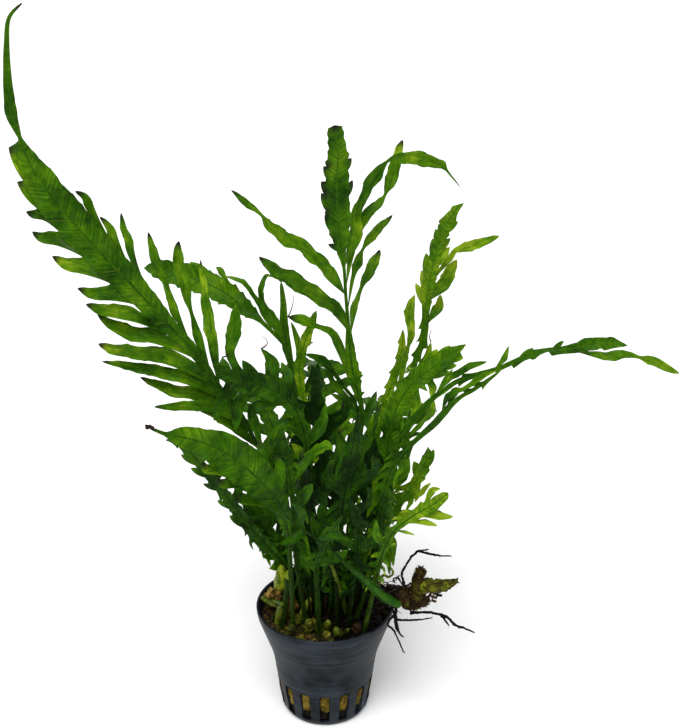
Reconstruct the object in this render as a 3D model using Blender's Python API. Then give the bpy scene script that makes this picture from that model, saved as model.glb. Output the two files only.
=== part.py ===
"""African water fern in a slotted net pot with a mineral wool plug.

Lengths are millimetres until a mesh is made, and Blender gets metres. +Z is up, and the origin is the middle
of the pot's underside. The fronds are drawn as a viewer in front of the plant, at -Y, sees them.
"""

import math

import bmesh
import bpy
from mathutils import Matrix, Vector
from mathutils.bvhtree import BVHTree

METRES = 0.001

# The space that every piece keeps to its neighbours, the height of a stalk's cut end above the bed, and how far
# a leaflet keeps outside the edge of its own blade
GAP = 0.3
FOOT_GAP = 0.9
EDGE_GAP = 0.5

# The pot: a 5 cm net pot with a 54 mm rim and 15 slots
POT_HEIGHT = 47.0
RIM_RADIUS = 27.2
POT_WALL = 1.0
SLOTS = 15
SLOT_SHARE = 0.53
POT_FLOOR = 1.2
SLOT_FLOOR = 2.4
SLOT_TOP = 16.0
POT_OUTLINE = (
    (0.0, 15.6),
    (1.0, 16.8),
    (SLOT_FLOOR, 17.6),
    (SLOT_TOP, 19.5),
    (25.0, 20.7),
    (29.0, 21.7),
    (44.0, 27.0),
    (POT_HEIGHT, RIM_RADIUS),
)

# The bed: its height at the edge, and its mounds as (across, back, rise, spread)
BED = 41.5
MOUNDS = ((16.0, -3.0, 6.0, 7.0), (-12.0, -5.0, 2.5, 7.0))
BED_RINGS = (23.6, 18.0, 10.0)

# The viewer in front of the plant, and the scale of the picture the fronds are drawn in
EYE = Vector((6.0, -418.0, 321.6))
LOOK_DOWN = math.radians(22.38)
PIXELS_PER_RADIAN = 1236.0
PICTURE_MIDDLE = (340.0, 364.0)
FORWARD = Vector((0.0, math.cos(LOOK_DOWN), -math.sin(LOOK_DOWN)))
UPWARD = Vector((0.0, math.sin(LOOK_DOWN), math.cos(LOOK_DOWN)))

# Leaf thickness, how each leaflet in turn rolls about its own line in degrees, and how far it may swing or
# shrink to clear what is already there
STALK_THICKNESS = 1.6
RIB_THICKNESS = 0.9
LEAF_THICKNESS = 0.6
ROLLS = (24, -18, 32, -28, 12)
SWINGS = (0, 3, -3, 6, -6, 9, -9, 12, -12, 16, -16, 20, -20)
SHORTER = (1.0, 0.75, 0.5)

# Each frond: foot is where its stalk leaves the bed. A rib point is (across, down, depth, half width), and a
# leaflet is (depth of its tip behind its base, then points (across, down, width)), base first. Across and
# down are picture pixels, depth and widths millimetres. turn is how far the blade faces away from the viewer,
# in degrees about a vertical line.
FRONDS = {
    "frond_tall_left": {
        "foot": (-9.0, -1.0),
        "rib": (
            (296, 560, -2, 0.8), (291, 525, -4, 0.7), (281, 490, -7, 0.6), (262, 455, -10, 0.6),
            (241, 414, -13, 0.8), (217, 385, -16, 1.2), (195, 353, -18, 2.0), (171, 328, -20, 2.6),
            (150, 305, -22, 3.6), (128, 281, -24, 4.6), (107, 260, -26, 5.2), (78, 228, -28, 5.8),
            (56, 202, -30, 5.8), (38, 178, -31, 4.6), (27, 158, -32, 3.2), (20, 138, -33, 0.6),
            (11, 112, -35, 1.9), (7.5, 78, -36, 1.3), (6.6, 42, -37, 0.8), (9, 18, -37, 0.6),
            (21.7, 3.2, -36, 0.3),
        ),
        "leaves": (
            (-1, (22, 166, 8), (8.4, 147.6, 0)),
            (-1, (32, 193, 9), (16.8, 182, 0)),
            (-2, (48, 218, 7), (38, 214, 3.6), (26, 211.8, 0)),
            (-3, (68, 244, 9), (49, 238, 5), (32, 231.7, 0)),
            (-4, (98, 268, 10), (72, 265, 5.4), (52, 256.2, 0)),
            (-6, (124, 292, 8), (100, 294, 5.4), (77.3, 288.4, 0)),
            (-8, (158, 321, 8), (128, 313, 6), (103, 309, 5), (85.7, 304.4, 0)),
            (-6, (186, 343, 7), (150, 336, 6), (122, 331, 6), (97, 314, 0)),
            (-9, (207, 373, 8), (165, 356, 6.4), (120, 350, 5.2), (98.2, 343.8, 0)),
            (-7, (222, 392, 8), (190, 379, 6), (150, 370, 5.2), (101.7, 361.4, 0)),
            (-3, (236, 408, 7), (200, 395, 5.4), (170, 390, 5.2), (140, 377, 0)),
            (-10, (246, 424, 5), (215, 407, 4.6), (185, 406, 4.4), (154, 407, 0)),
            (-4, (254, 440, 4), (236, 427, 4.8), (218, 416, 4.8), (199, 410, 0)),
            (2, (96, 232, 6), (82, 208, 3.4), (75, 191, 0)),
            (5, (116, 257, 3.8), (106, 238, 3), (99.5, 216.4, 0)),
            (8, (136, 266, 4.4), (129, 245, 3.4), (124, 230, 2.8), (120.9, 212.6, 0)),
            (13, (183, 334, 3), (174, 310, 2.8), (166, 285, 2), (155, 258, 3.4), (148.3, 232, 0)),
            (16, (206, 362, 3), (198, 338, 2.8), (191, 313, 1.2), (184, 285, 4), (177, 260, 4),
             (178.9, 241, 0)),
            (19, (219, 380, 2.8), (213, 345, 3.2), (209, 320, 4), (204, 286, 2.4), (200.4, 259.6, 0)),
            (8, (256, 444, 3), (256, 424, 3), (248, 404, 0)),
        ),
    },
    "frond_middle_left": {
        "turn": -15,
        "foot": (-10.5, -5.5),
        "rib": (
            (303, 560, -11, 0.8), (309, 500, -15, 0.7), (307, 450, -18, 0.8), (298, 414, -20, 2.4),
            (282, 395, -22, 4.2), (262, 386, -24, 5.2), (241, 381, -26, 4.8), (226, 374, -27, 3.0),
            (213, 366, -28, 0.4),
        ),
        "leaves": (
            (8, (234, 376, 4), (230, 352, 3), (234, 330, 4.6), (236, 304, 0)),
            (2, (223, 372, 3), (222, 357.5, 0)),
            (3, (247, 374, 3), (242, 360, 0)),
            (5, (273, 380, 6), (272, 364, 4.6), (268, 355, 2.4), (261, 349, 0)),
            (8, (277, 380, 2), (278, 360, 1), (286, 347, 0)),
            (6, (291, 392, 5), (287, 380, 3.6), (281, 362, 0)),
            (-4, (232, 390, 5), (222, 402, 4), (214, 421, 0)),
            (-6, (244, 396, 5), (238, 408, 4.4), (236, 432, 0)),
            (-7, (276, 404, 4), (260, 402, 3), (252, 414, 3), (262, 448, 0)),
            (-5, (304, 436, 4), (290, 424, 4), (278, 432, 4), (264, 462, 0)),
            (6, (308, 440, 4), (320, 428, 4), (326, 404, 0)),
        ),
    },
    "frond_rear_left": {
        "turn": 15,
        "foot": (-12.0, 7.0),
        "rib": (
            (303, 540, 12, 0.8), (310, 470, 16, 0.7), (306, 400, 21, 0.6), (292, 361, 25, 0.5),
            (283, 344, 27, 0.5), (262, 322, 30, 0.9), (246, 309, 33, 2.8), (225, 293, 36, 4.4),
            (203, 282, 39, 4.6), (178, 274, 42, 4.4), (158, 269, 44, 3.2), (144, 268, 45, 0.4),
        ),
        "leaves": (
            (7, (268, 328, 2.4), (262, 313, 2.2), (254, 296, 1.8), (242, 282, 2), (225, 276, 0)),
            (11, (283, 344, 2.2), (274, 322, 3.6), (263, 303, 1.8), (261, 289, 2), (266, 276, 1.4),
             (272, 277, 0)),
            (5, (222, 288, 3), (219, 277, 2.6), (216, 267, 0)),
            (4, (197, 276, 3), (190, 262, 0)),
        ),
    },
    "frond_drooping_left": {
        "foot": (-12.0, -15.0),
        "rib": (
            (290, 560, -21, 0.9), (287, 530, -26, 1.4), (280, 506, -31, 3.4), (265, 486, -36, 5.4),
            (245, 467, -40, 7.0), (221, 450, -44, 6.6), (198, 441, -47, 4.2), (180, 437, -49, 2.6),
            (165, 434, -51, 1.6), (148, 427, -53, 0.4),
        ),
        "leaves": (
            (-3, (226, 458, 7), (213, 463, 3), (203, 460, 0)),
            (-4, (240, 478, 8), (228, 482, 4), (217, 480, 0)),
            (-5, (264, 500, 8), (250, 500, 4), (234, 500, 0)),
            (5, (256, 466, 6), (262, 454, 4), (257, 441, 0)),
            (6, (276, 486, 6), (280, 470, 4), (274, 454, 0)),
        ),
    },
    "frond_thorny_left": {
        "turn": -20,
        "foot": (-17.0, -12.0),
        "rib": (
            (287, 575, -14, 1.2), (273, 553, -15, 2.6), (257, 536, -17, 3.2), (242, 517, -19, 2.8),
            (228, 498, -22, 2.5), (213, 479, -25, 2.2), (199, 462, -28, 2.4), (187, 449, -31, 2.2),
            (176, 441.5, -33, 1.2), (166, 440, -34, 0.3),
        ),
        "leaves": (
            (-2, (194, 460, 2), (180.7, 454.4, 0)),
            (-2, (205, 472, 2), (190.5, 468, 0)),
            (-2, (217, 487, 2), (203, 483.8, 0)),
            (-2, (230, 504, 2), (217, 500.4, 0)),
            (-2, (243, 520, 3), (231, 515, 0)),
            (-3, (268, 549, 3), (257, 549.8, 0)),
            (-3, (273, 555, 2), (262, 556, 0)),
            (-3, (281, 563, 3), (269, 568.5, 0)),
            (4, (214, 478, 3), (223, 470, 3), (234, 463, 0)),
            (4, (230, 498, 3), (240, 488, 3), (240, 474, 0)),
        ),
    },
    "frond_low_left": {
        "turn": 25,
        "foot": (-20.0, -6.0),
        "rib": (
            (286, 586, -6, 1.4), (282, 562, -9, 3.2), (271, 540, -11, 5.4), (257, 519, -13, 5.0),
            (246, 503, -14, 2.8), (238, 490, -15, 0.4),
        ),
        "leaves": (
            (4, (280, 552, 6), (290, 538, 4.6), (288, 518, 0)),
            (4, (264, 524, 6), (276, 512, 4.4), (272, 496, 0)),
        ),
    },
    "frond_tall_middle": {
        "foot": (3.0, 2.0),
        "rib": (
            (336, 570, 3, 0.9), (341, 530, 5, 0.8), (350, 480, 6, 0.7), (360, 440, 7, 0.7),
            (362, 412, 7, 0.8), (358.5, 395, 7, 1.2), (353, 372, 7, 2.6), (350, 350, 7, 1.8),
            (348, 322, 7, 0.7), (346, 298, 7, 0.6), (344, 268, 7, 0.6), (341, 248, 6, 1.8),
            (339, 225, 5, 3.8), (337, 202, 4, 4.4), (337, 178, 2, 4.1), (338, 155, 0, 3.4),
            (336, 138, -2, 2.7), (334.5, 125.5, -4, 2.3),
        ),
        "leaves": (
            (-2, (330, 172, 2.4), (323.5, 166, 0)),
            (-2, (328, 188, 2.4), (321, 181.5, 0)),
            (-2, (329, 201, 3), (321, 193, 0)),
            (-2, (331, 222, 2.4), (326, 214.5, 0)),
            (-1, (336, 248, 1.6), (328, 244, 0)),
            (2, (347, 164, 2), (351.5, 158, 0)),
            (2, (347, 190, 2.4), (352.5, 180, 0)),
            (-14, (345, 292, 1.2), (331, 274, 3.8), (317, 260, 4.4), (301, 246, 4.6), (284, 238, 4.8),
             (270, 227, 3.4),
             (261, 215, 1), (246, 203, 2.4), (231, 190, 0)),
            (-17, (348, 326, 2), (340, 312, 3.6), (325, 300, 5), (307, 288, 5.4), (290, 277, 5.6),
             (276, 270, 4.2),
             (259, 256.5, 0)),
            (-9, (354, 374, 2.6), (343, 347, 3.2), (331, 332, 2.6), (317, 326.5, 1.6), (303, 320, 4),
             (288, 317, 0)),
            (9, (344, 262, 1.8), (351, 236, 4.6), (356, 214, 3.4), (364, 195, 3), (374, 177, 4.6),
             (388, 161, 1),
             (402, 157, 3.6), (422, 159, 5), (440, 164, 3.2), (448, 172, 0.8), (460.7, 187.6, 0)),
            (14, (345, 282, 1.2), (351, 256, 1.8), (359, 234, 1), (367, 215, 3.8), (379, 203, 2.8),
             (385, 195, 1), (391, 180, 4.4), (396, 164, 4), (399, 150, 2.8), (402.7, 139.8, 0)),
            (17, (348, 305, 1.2), (353, 278, 1.2), (357, 262, 3.4), (363, 249, 1), (370, 237, 3.2),
             (380, 227, 3),
             (392.5, 215, 0)),
            (20, (349, 330, 1.2), (354, 308, 2.2), (361, 289, 1.2), (368, 275, 3.6), (375, 262, 3.6),
             (379.7, 249.5, 0)),
            (8, (364, 424, 2), (370, 408, 3.4), (376.5, 391, 0)),
            (-6, (361, 418, 2), (350, 414, 3), (343, 422, 3.4), (338, 434, 0)),
        ),
    },
    "frond_thin_arching": {
        "foot": (7.0, 6.0),
        "rib": (
            (345, 560, 9, 0.7), (351, 500, 11, 0.7), (358, 440, 13, 0.9), (356, 405, 14, 0.6),
            (345, 388, 14, 0.7), (333, 372, 14, 0.9), (322, 360, 14, 1.8), (305, 354, 14, 0.3),
        ),
        "leaves": (
            (5, (352, 402, 2), (340, 388, 2.2), (332, 377, 2), (326, 370, 0)),
            (9, (357, 414, 2), (348, 404, 2.4), (340, 398, 2.2), (331, 394, 0)),
            (4, (351, 460, 4), (342, 446, 4), (334, 422, 0)),
            (6, (357, 462, 3), (366, 450, 4), (368, 438, 0)),
        ),
    },
    "frond_light_left": {
        "foot": (-3.0, 6.0),
        "young": True,
        "rib": (
            (306, 560, 9, 0.7), (311, 500, 12, 0.7), (309, 440, 15, 1.2), (303, 396, 17, 1.8),
            (299, 372, 18, 2.2), (302, 352, 18, 2.0), (308, 334, 18, 1.8), (313, 320, 18, 1.4),
            (316, 311, 18, 0.6),
        ),
        "leaves": (
            (5, (306, 426, 4), (299, 412, 4), (292, 398, 0)),
            (5, (310, 470, 4), (300, 450, 4.4), (292, 428, 0)),
            (6, (311, 480, 4), (322, 462, 4), (328, 440, 0)),
        ),
    },
    "frond_narrow_left": {
        "foot": (-7.0, 11.0),
        "rib": (
            (302, 560, 17, 0.7), (304, 500, 22, 0.7), (301, 440, 27, 0.9), (297, 400, 30, 0.8),
            (293, 372, 32, 1.0), (287, 348, 34, 1.8), (284, 325, 35, 1.7), (283.5, 305, 36, 1.3),
            (281, 282, 37, 0.5),
        ),
        "leaves": (
            (13, (298, 395, 2), (300, 368, 2.2), (297, 340, 2.4), (291, 322, 0)),
            (5, (299, 424, 4), (290, 408, 4), (280, 394, 0)),
            (6, (303, 460, 4), (314, 440, 4.4), (318, 412, 0)),
        ),
    },
    "frond_dark_middle": {
        "turn": 20,
        "foot": (-1.0, -3.0),
        "rib": (
            (321, 560, -4, 0.8), (325, 510, -5, 1.2), (325, 470, -5, 4.0), (321, 435, -5, 5.6),
            (317, 408, -5, 5.6), (315, 385, -5, 3.4), (314, 374, -5, 2.2), (312, 365, -5, 0.6),
        ),
        "leaves": (
            (-6, (313, 446, 7), (302, 440, 5), (290, 442, 0)),
            (-6, (304, 414, 7), (294, 404, 5), (290, 390, 0)),
            (2, (330, 424, 6), (341, 414, 4.4), (344, 398, 0)),
            (3, (318, 380, 3), (318, 363, 0)),
            (8, (332, 470, 8), (340, 454, 5), (337, 436, 0)),
            (-8, (318, 490, 8), (308, 476, 5), (300, 452, 0)),
        ),
    },
    "frond_inner_left": {
        "foot": (-7.0, -11.0),
        "rib": (
            (296, 560, -17, 0.8), (294, 520, -21, 0.7), (291, 485, -25, 1.2), (285, 455, -29, 2.6),
            (281, 437, -31, 2.2), (283, 423, -32, 0.4),
        ),
        "leaves": (
            (-6, (291, 490, 1.6), (281, 474, 1.6), (266, 466, 3), (250, 469, 0)),
            (-8, (292, 482, 1.6), (303, 466, 2.2), (313, 453, 3.2), (326, 446, 3), (333, 450, 0)),
            (-5, (287, 462, 2), (277, 450, 4), (270, 430, 0)),
            (-6, (293, 510, 2), (305, 495, 4), (313, 484, 0)),
            (-6, (294, 535, 3), (284, 520, 4), (278, 505, 0)),
        ),
    },
    "frond_inner_front": {
        "turn": -30,
        "foot": (-2.0, -9.0),
        "rib": (
            (308, 565, -13, 0.8), (308, 540, -15, 1.6), (307, 512, -18, 4.0), (305, 486, -20, 4.4),
            (306, 466, -22, 2.4), (309, 450, -23, 0.4),
        ),
        "leaves": (
            (-4, (303, 530, 5), (296, 520, 3), (298, 506, 0)),
            (-5, (312, 530, 5), (322, 520, 4), (326, 502, 0)),
            (-4, (313, 500, 5), (322, 488, 4), (322, 472, 0)),
        ),
    },
    "frond_inner_right": {
        "turn": 30,
        "foot": (5.0, -13.0),
        "rib": (
            (336, 575, -17, 0.8), (338, 545, -20, 1.4), (342, 512, -23, 4.0), (347, 478, -26, 5.0),
            (352, 448, -28, 4.4), (356, 428, -29, 2.4), (358, 412, -30, 0.5),
        ),
        "leaves": (
            (-5, (340, 486, 6), (334, 474, 4), (336, 456, 0)),
            (-5, (354, 488, 6), (364, 474, 4.4), (368, 456, 0)),
            (-5, (348, 518, 6), (358, 506, 4.4), (362, 488, 0)),
            (-5, (336, 526, 6), (328, 514, 4), (326, 496, 0)),
        ),
    },
    "frond_low_front": {
        "turn": 25,
        "foot": (-2.0, -17.0),
        "rib": (
            (317, 590, -20, 1.0), (316, 568, -23, 2.0), (322, 548, -27, 3.6), (332, 531, -31, 3.2),
            (342, 516, -35, 0.4),
        ),
        "leaves": (
            (-5, (314, 566, 4), (304, 556, 4), (298, 542, 0)),
            (-5, (320, 562, 5), (334, 558, 4), (348, 550, 0)),
            (-5, (322, 542, 4), (316, 530, 4), (312, 516, 0)),
        ),
    },
    "frond_lower_middle": {
        "turn": -25,
        "foot": (9.0, -12.0),
        "rib": (
            (354, 580, -16, 0.9), (357, 556, -21, 2.2), (358, 532, -27, 4.0), (354, 512, -32, 3.0),
            (350, 498, -36, 0.4),
        ),
        "leaves": (
            (-4, (361, 546, 5), (370, 534, 3.6), (374, 518, 0)),
            (-4, (352, 548, 5), (342, 538, 3.6), (338, 524, 0)),
        ),
    },
    "frond_right_upright": {
        "turn": -15,
        "foot": (11.0, 6.0),
        "rib": (
            (360, 570, 8, 0.8), (368, 530, 11, 0.7), (377, 480, 14, 0.6), (387, 435, 17, 0.7),
            (398, 400, 19, 0.8), (411, 375, 20, 0.9), (416.5, 358, 20, 1.3), (423, 342, 19, 1.6),
            (425, 325, 18, 1.6), (426, 308, 17, 1.7), (428, 290, 15, 2.4), (432, 270, 13, 2.8),
            (437, 250, 11, 2.4), (442, 235, 9, 2.6), (448, 222, 7, 2.7), (455, 211, 5, 1.6),
            (463.3, 203.5, 3, 0.3),
        ),
        "leaves": (
            (1, (439, 236, 2), (436.5, 229.5, 0)),
            (1, (437, 248, 3), (432.5, 238.5, 0)),
            (1, (431, 270, 3), (426, 253, 0)),
            (2, (427, 286, 3.4), (421.3, 270, 0)),
            (2, (423, 298, 3), (415.6, 283, 0)),
            (-9, (396, 400, 2), (402, 376, 1.6), (411, 362, 2.2), (408, 347, 1.2), (411, 333, 2.4),
             (416, 312, 3.4),
             (418, 296, 0)),
            (-1, (451, 226, 2), (457, 220.5, 0)),
            (-2, (443, 245, 2), (449.6, 237.4, 0)),
            (-2, (441, 258, 2.4), (450, 247, 0)),
            (12, (436, 272, 3), (445, 259, 2.2), (455, 251, 1.8), (469, 246, 3.6), (484, 241.5, 3),
             (499.5, 236, 0)),
            (4, (430, 292, 4), (440, 283, 4.4), (449, 273, 4.2), (456.9, 259.5, 0)),
            (5, (427, 318, 3), (434, 307, 3.8), (440.5, 294.6, 0)),
            (4, (414, 372, 3), (424, 362, 3), (431, 342, 0)),
        ),
    },
    "frond_light_right": {
        "foot": (8.0, 12.0),
        "young": True,
        "rib": (
            (356, 560, 18, 0.7), (364, 500, 24, 0.7), (374, 450, 29, 0.9), (383, 415, 32, 1.8),
            (389, 392, 33, 2.0), (394, 376, 34, 2.0), (400, 362, 34, 2.0), (402, 348, 34, 2.0),
            (403, 330, 34, 0.4),
        ),
        "leaves": (
            (5, (370, 470, 3), (382, 452, 3.6), (386, 434, 0)),
            (5, (376, 444, 3), (370, 430, 2), (374, 412, 0)),
        ),
    },
    "frond_maple_right": {
        "turn": -20,
        "foot": (14.0, -1.0),
        "rib": (
            (366, 570, -2, 0.8), (375, 530, -2, 0.8), (383, 480, -3, 1.4), (389, 440, -3, 3.4),
            (394, 415, -3, 4.0), (404, 395, -3, 4.4), (415, 381, -3, 4.4), (428, 371, -3, 4.6),
            (440, 362, -3, 4.2), (452, 353.5, -3, 2.8), (465.6, 344.6, -3, 0.3),
        ),
        "leaves": (
            (1, (442, 353, 3), (450.8, 347, 0)),
            (1, (431, 362, 3), (438.9, 350.9, 0)),
            (-1, (452, 358, 3), (463.5, 358.4, 0)),
            (-1, (446, 364, 3), (457.2, 365.6, 0)),
            (-2, (436, 373, 4), (449, 371, 0)),
            (-4, (428, 378, 3.2), (433, 388, 3), (431, 398, 0)),
            (-4, (412, 392, 5), (416, 408, 4), (410, 426, 0)),
            (-4, (398, 430, 5), (406, 446, 4), (402, 462, 0)),
        ),
    },
    "frond_far_right": {
        "foot": (12.0, -9.0),
        "rib": (
            (370, 575, -11, 0.9), (376, 530, -14, 0.8), (386, 480, -17, 0.9), (402, 437, -20, 1.2),
            (421, 411, -22, 1.5), (432, 399, -23, 0.9), (443, 391, -24, 1.0), (458, 381, -25, 0.8),
            (480, 374, -27, 0.9), (499, 368, -28, 0.7), (516, 361, -30, 0.9), (533, 354, -31, 1.4),
            (546, 350, -32, 0.6), (561, 350, -33, 1.4), (576, 348, -34, 2.0), (592, 344, -35, 2.4),
            (608, 343, -36, 2.2), (627.3, 345.5, -37, 0.3),
        ),
        "leaves": (
            (6, (441, 392, 1.6), (450, 381, 2.2), (459, 372, 2.4), (472, 365.5, 2.2), (487, 361.8, 0)),
            (3, (440, 393, 1.6), (446, 379, 1.8), (453, 369, 0)),
            (3, (499, 368, 2), (504, 358, 1.8), (508.6, 346, 0)),
            (2, (524, 357, 1), (534, 348.5, 0)),
            (3, (556, 350, 1), (564, 341, 0)),
            (-8, (582, 350, 2), (601, 351, 2.4), (614, 354.5, 3.4), (627, 354.5, 2.2), (639, 357, 1),
             (651, 360.5, 3),
             (665, 366.5, 2.6), (679.5, 373.6, 0)),
            (5, (416, 418, 3.4), (426, 410, 3), (434, 400, 0)),
            (-5, (404, 438, 2), (415, 424, 1.6), (427, 416, 1.2), (438, 410, 0)),
        ),
    },
    "frond_lower_far_right": {
        "foot": (17.0, -10.0),
        "rib": (
            (375, 575, -12, 0.8), (380, 530, -18, 0.8), (386, 484, -24, 1.2), (400, 457, -28, 1.6),
            (416, 440, -31, 1.6), (433, 425, -33, 2.2), (444, 413, -35, 2.2), (452, 404, -36, 1.8),
            (462, 396, -37, 0.7), (473, 390, -38, 0.7), (488, 380, -39, 0.6), (500, 371, -40, 0.3),
        ),
        "leaves": (
            (5, (452, 404, 2.4), (458, 396, 2.6), (462, 388.8, 0)),
            (-6, (446, 410, 2), (450, 398, 1.8), (465, 389, 1.2), (480, 387, 1.8), (491, 383, 1.4),
             (499, 374, 0)),
            (4, (388, 480, 3), (394, 464, 3.6), (405, 448, 0)),
            (4, (383, 505, 4), (376, 494, 4), (377, 478, 0)),
        ),
    },
    "frond_dark_right": {
        "turn": -35,
        "foot": (8.0, -4.0),
        "rib": (
            (352, 565, -6, 0.8), (361, 520, -8, 1.2), (369, 485, -9, 3.8), (374, 460, -10, 4.4),
            (375, 442, -11, 2.2), (374, 438, -11, 0.5),
        ),
        "leaves": (
            (-4, (361, 490, 6), (356, 478, 4), (358, 462, 0)),
            (4, (378, 480, 6), (386, 470, 4), (388, 452, 0)),
            (4, (366, 515, 6), (376, 505, 4), (381, 490, 0)),
        ),
    },
    "frond_lower_right": {
        "foot": (19.0, -3.0),
        "rib": (
            (378, 570, -5, 0.8), (381, 545, -7, 1.0), (388, 522, -9, 1.6), (399, 504, -11, 1.6),
            (410, 490, -13, 1.8), (418, 478, -15, 2.4), (424, 466, -16, 2.4), (428, 456, -17, 2.0),
            (428, 447.5, -18, 0.4),
        ),
        "leaves": (
            (6, (389, 518, 4), (387, 500, 3.4), (395, 483, 2.8), (405, 475, 3), (414, 469, 0)),
            (3, (419, 470, 3), (414, 461, 0)),
            (-2, (428, 459, 2), (434.3, 449.5, 0)),
            (-4, (404, 498, 2), (413, 491.5, 1.8), (424, 490, 1.8), (431, 482.6, 0)),
            (-4, (390, 520, 3), (399, 511, 2.6), (411, 510, 0)),
        ),
    },
    "frond_light_lower_right": {
        "foot": (15.0, -16.0),
        "young": True,
        "rib": (
            (376, 580, -20, 0.8), (381, 558, -25, 1.0), (388, 541, -29, 1.6), (396, 529, -32, 1.6),
            (406, 521, -34, 1.6), (416, 514, -36, 2.6), (427, 508, -37, 3.0), (438, 501, -39, 2.6),
            (448, 493, -40, 1.8),
        ),
        "leaves": (
            (-3, (424, 512, 2.6), (438, 514, 2.8), (453.3, 516.7, 0)),
            (-4, (410, 520, 2), (425, 520.5, 2), (437.6, 526, 0)),
            (-3, (397, 529, 1.2), (406, 532, 1), (415, 535, 0)),
            (-2, (387, 544, 1.2), (395.5, 543.5, 0)),
            (2, (430, 505, 3), (436, 497, 2.4), (441, 489.6, 0)),
            (3, (386, 546, 2.4), (377, 536, 2.8), (376, 520, 0)),
        ),
    },
    "frond_strap": {
        "rib": (
            (399, 605, -16.5, 1.2), (384, 597, -20, 1.2), (366, 581, -24, 1.2), (348, 566, -28, 1.1),
            (330, 549, -32, 1.0), (312, 536, -38, 1.4), (296, 524, -42, 2.8), (282, 514, -46, 2.0),
            (270, 509, -49, 0.4),
        ),
        "leaves": (
            (-6, (318, 540, 2.4), (330, 536, 2.4), (348, 538, 0)),
            (-5, (300, 526, 3), (300, 514, 3), (292, 504, 0)),
            (-6, (304, 530, 3), (292, 540, 3), (280, 544, 0)),
        ),
    },
    "frond_rear_low_left": {
        "turn": 35,
        "foot": (-16.0, 9.0),
        "rib": (
            (286, 540, 15, 1.4), (273, 508, 20, 4.6), (262, 482, 25, 6.0), (252, 462, 30, 5.0),
            (245, 447, 35, 0.5),
        ),
        "leaves": (
            (8, (286, 500, 8), (284, 480, 5), (274, 458, 0)),
            (6, (262, 510, 8), (250, 494, 4), (240, 480, 0)),
        ),
    },
    "frond_rear_middle_left": {
        "turn": -40,
        "foot": (-3.0, 14.0),
        "rib": (
            (304, 530, 24, 1.2), (301, 490, 32, 4.0), (298, 455, 40, 5.4), (297, 422, 48, 4.6),
            (290, 400, 54, 3.0), (280, 385, 58, 0.5),
        ),
        "leaves": (
            (8, (286, 460, 8), (278, 446, 5), (274, 430, 0)),
            (8, (310, 460, 8), (322, 446, 5), (326, 424, 0)),
            (8, (306, 420, 6), (312, 404, 4), (311, 384, 0)),
        ),
    },
    "frond_rear_middle_right": {
        "turn": 40,
        "foot": (4.0, 16.0),
        "rib": (
            (330, 530, 30, 1.2), (338, 495, 38, 4.4), (345, 465, 46, 5.4), (353, 440, 53, 4.4),
            (358, 422, 59, 2.4), (360, 408, 63, 0.4),
        ),
        "leaves": (
            (8, (333, 480, 8), (328, 462, 5), (330, 440, 0)),
            (8, (357, 470, 8), (368, 458, 5), (374, 440, 0)),
        ),
    },
    "frond_rear_right": {
        "turn": -35,
        "foot": (16.0, 11.0),
        "rib": (
            (370, 530, 18, 1.2), (378, 495, 23, 3.2), (385, 462, 28, 4.0), (390, 435, 33, 4.2),
            (394, 412, 37, 2.6), (398, 396, 39, 0.4),
        ),
        "leaves": (
            (6, (386, 490, 7), (396, 474, 4), (398, 460, 0)),
            (6, (398, 434, 6), (406, 420, 4), (412, 402, 0)),
        ),
    },
}

# Fronds that arch away behind, drawn by one rule: foot, heading in degrees from +X, reach and rise of the
# tip, number of leaflet pairs and length of the longest leaflet
ARCHING = {
    "frond_back_left": ((-10.0, 20.0), 122, 62, 62, 5, 24),
    "frond_back_middle": ((-1.0, 21.0), 94, 84, 66, 6, 26),
    "frond_back_right": ((8.0, 20.0), 64, 72, 56, 6, 24),
}

# Roots, drawn like fronds: a root that lies free of the bed starts where its foot would be
ROOTS = {
    "root_upper": {
        "rib": (
            (403, 580, -11, 0.5), (402, 573, -12, 0.5), (408, 562, -13, 0.5), (413, 555, -14, 0.5),
            (419, 551, -15, 0.5), (429, 549.6, -16, 0.2),
        ),
        "leaves": ((-4, (419, 551, 1), (427, 553, 0.9), (437, 555.3, 0.8), (452, 556, 0)),),
    },
    "root_long": {
        "rib": (
            (416, 612.5, -12, 0.6), (432, 612.7, -14, 0.5), (447, 617, -17, 0.6), (455, 625, -19, 0.6),
            (464, 628, -20, 0.4), (475, 632.8, -22, 0.2),
        ),
        "leaves": ((-3, (440, 615, 1), (446, 620, 0.8), (449, 626, 0)),),
    },
    "root_hanging": {
        "rib": (
            (396, 607, -14, 0.7), (395.3, 616, -15, 0.8), (397, 627, -16, 0.7), (400.4, 634.4, -16, 0.4),
            (404, 637, -16, 0.2),
        ),
        "leaves": (
            (-4, (396, 620, 1), (415.7, 620, 0.7), (433, 617.5, 0)),
            (-5, (396, 613, 1), (388, 624, 0.8), (395, 631.3, 0.7), (402.3, 648.8, 0.6), (404.6, 652.6, 0)),
        ),
    },
    "crozier": {
        "young": True,
        "foot": (19.0, 5.0),
        "rib": (
            (378, 588, 4, 0.6), (383, 575.5, 3, 0.6), (389, 577, 2, 0.5), (393, 572.5, 1, 0.5),
            (391.5, 568.5, 0, 0.3),
        ),
        "leaves": (),
    },
}

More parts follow.
